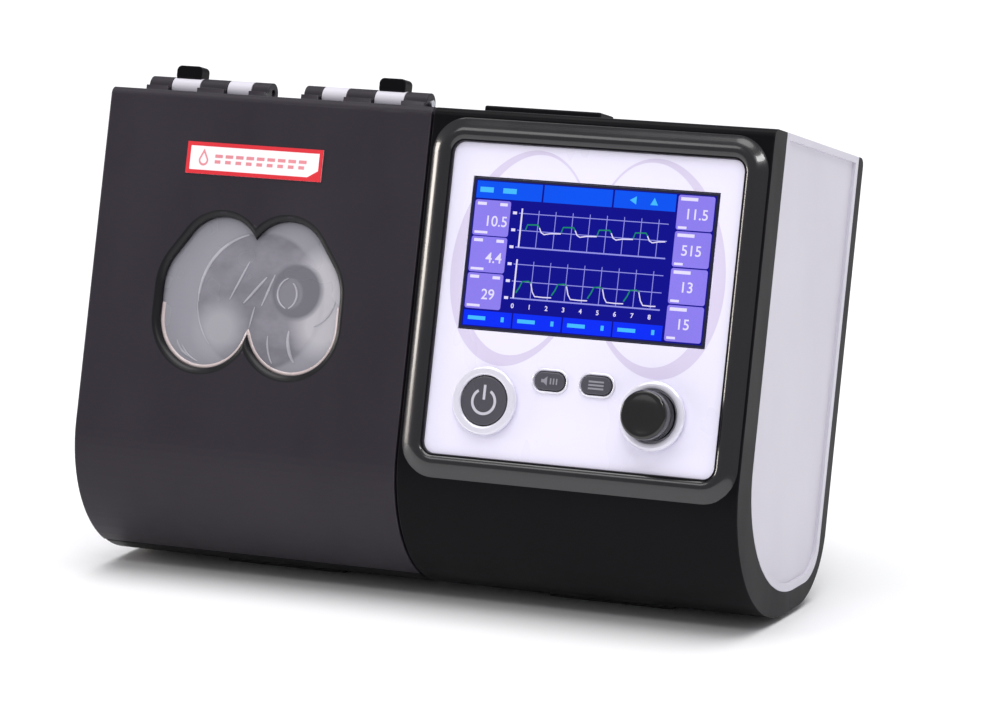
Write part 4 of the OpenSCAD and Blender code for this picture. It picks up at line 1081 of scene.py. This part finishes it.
# Name, place in metres, width and height, power in watts and colour of each lamp; all point at AIM
LAMPS = [
    ("key", (-0.55, -0.95, 1.1), (0.6, 0.35), 1.7, PLAIN),
    ("side", (1.3, 0.1, 0.6), (0.4, 0.8), 0.8, PLAIN),
    ("left_strip", (-1.5, -0.35, 0.3), (0.2, 0.7), 7.0, WARM),
    ("corner", (0.56, -1.02, 1.1), (0.22, 0.22), 2.4, PLAIN),
]
SKY_COLOUR, SKY_STRENGTH = (0.965, 0.965, 1.0, 1.0), 0.42
OVERHEAD_STRENGTH, OVERHEAD_SPREAD = 2.9, math.radians(60)
FLOOR_HALF = 9.0

# The photograph's viewpoint in metres, how far it looks to the left and down, and its lens in millimetres
VIEWPOINT = (0.7365, -1.5663, 0.4197)
VIEW_TURN, VIEW_FALL = math.radians(24.814), math.radians(11.040)
LENS = 168.2


def aim(obj, direction):
    """Points a lamp along a direction."""
    obj.rotation_euler = Vector(direction).to_track_quat("-Z", "Y").to_euler()


def lamp(name, kind, strength):
    """A light in the scene, returned as its object."""
    data = bpy.data.lights.new(name, kind)
    data.energy = strength
    obj = bpy.data.objects.new(name, data)
    bpy.context.scene.collection.objects.link(obj)
    return obj


def floor():
    """A plain pale floor."""
    bm = bmesh.new()
    bmesh.ops.create_grid(bm, x_segments=8, y_segments=8, size=FLOOR_HALF)
    obj = to_object("floor", bm)
    s = Shader("floor_mat")
    s.link(s.mix(s.ramp(s.noise(3.0), 0.0, 1.0), (0.86, 0.86, 0.87, 1.0), (0.89, 0.89, 0.90, 1.0)),
           s.bsdf.inputs["Base Color"])
    s.set(Roughness=0.6)
    obj.data.materials.append(s.mat)


def lights():
    """An even sky, a broad light from above and four soft lamps."""
    world = bpy.data.worlds.new("studio")
    world.use_nodes = True
    sky = world.node_tree.nodes["Background"]
    sky.inputs["Color"].default_value = SKY_COLOUR
    sky.inputs["Strength"].default_value = SKY_STRENGTH
    bpy.context.scene.world = world
    overhead = lamp("overhead", "SUN", OVERHEAD_STRENGTH)
    overhead.data.angle = OVERHEAD_SPREAD
    aim(overhead, (-0.05, 0.02, -1.0))
    for name, place, size, power, colour in LAMPS:
        soft = lamp(name, "AREA", power)
        soft.data.shape = "RECTANGLE"
        soft.data.size, soft.data.size_y = size
        soft.data.color = colour
        soft.location = place
        aim(soft, Vector(AIM) - Vector(place))


def camera():
    """The photograph's viewpoint: from the right and above, through a long lens."""
    data = bpy.data.cameras.new("camera")
    obj = bpy.data.objects.new("camera", data)
    bpy.context.scene.collection.objects.link(obj)
    level = math.cos(VIEW_FALL)
    forward = Vector((-math.sin(VIEW_TURN) * level, math.cos(VIEW_TURN) * level, -math.sin(VIEW_FALL)))
    right = Vector((math.cos(VIEW_TURN), math.sin(VIEW_TURN), 0.0))
    up = right.cross(forward)
    obj.matrix_world = Matrix((right, up, -forward)).transposed().to_4x4()
    obj.location = VIEWPOINT
    data.lens = LENS
    data.sensor_width = 36.0
    data.clip_start = 0.05
    bpy.context.scene.camera = obj
    bpy.context.scene.view_settings.view_transform = "Standard"


floor()
lights()
camera()
bpy.context.view_layer.update()
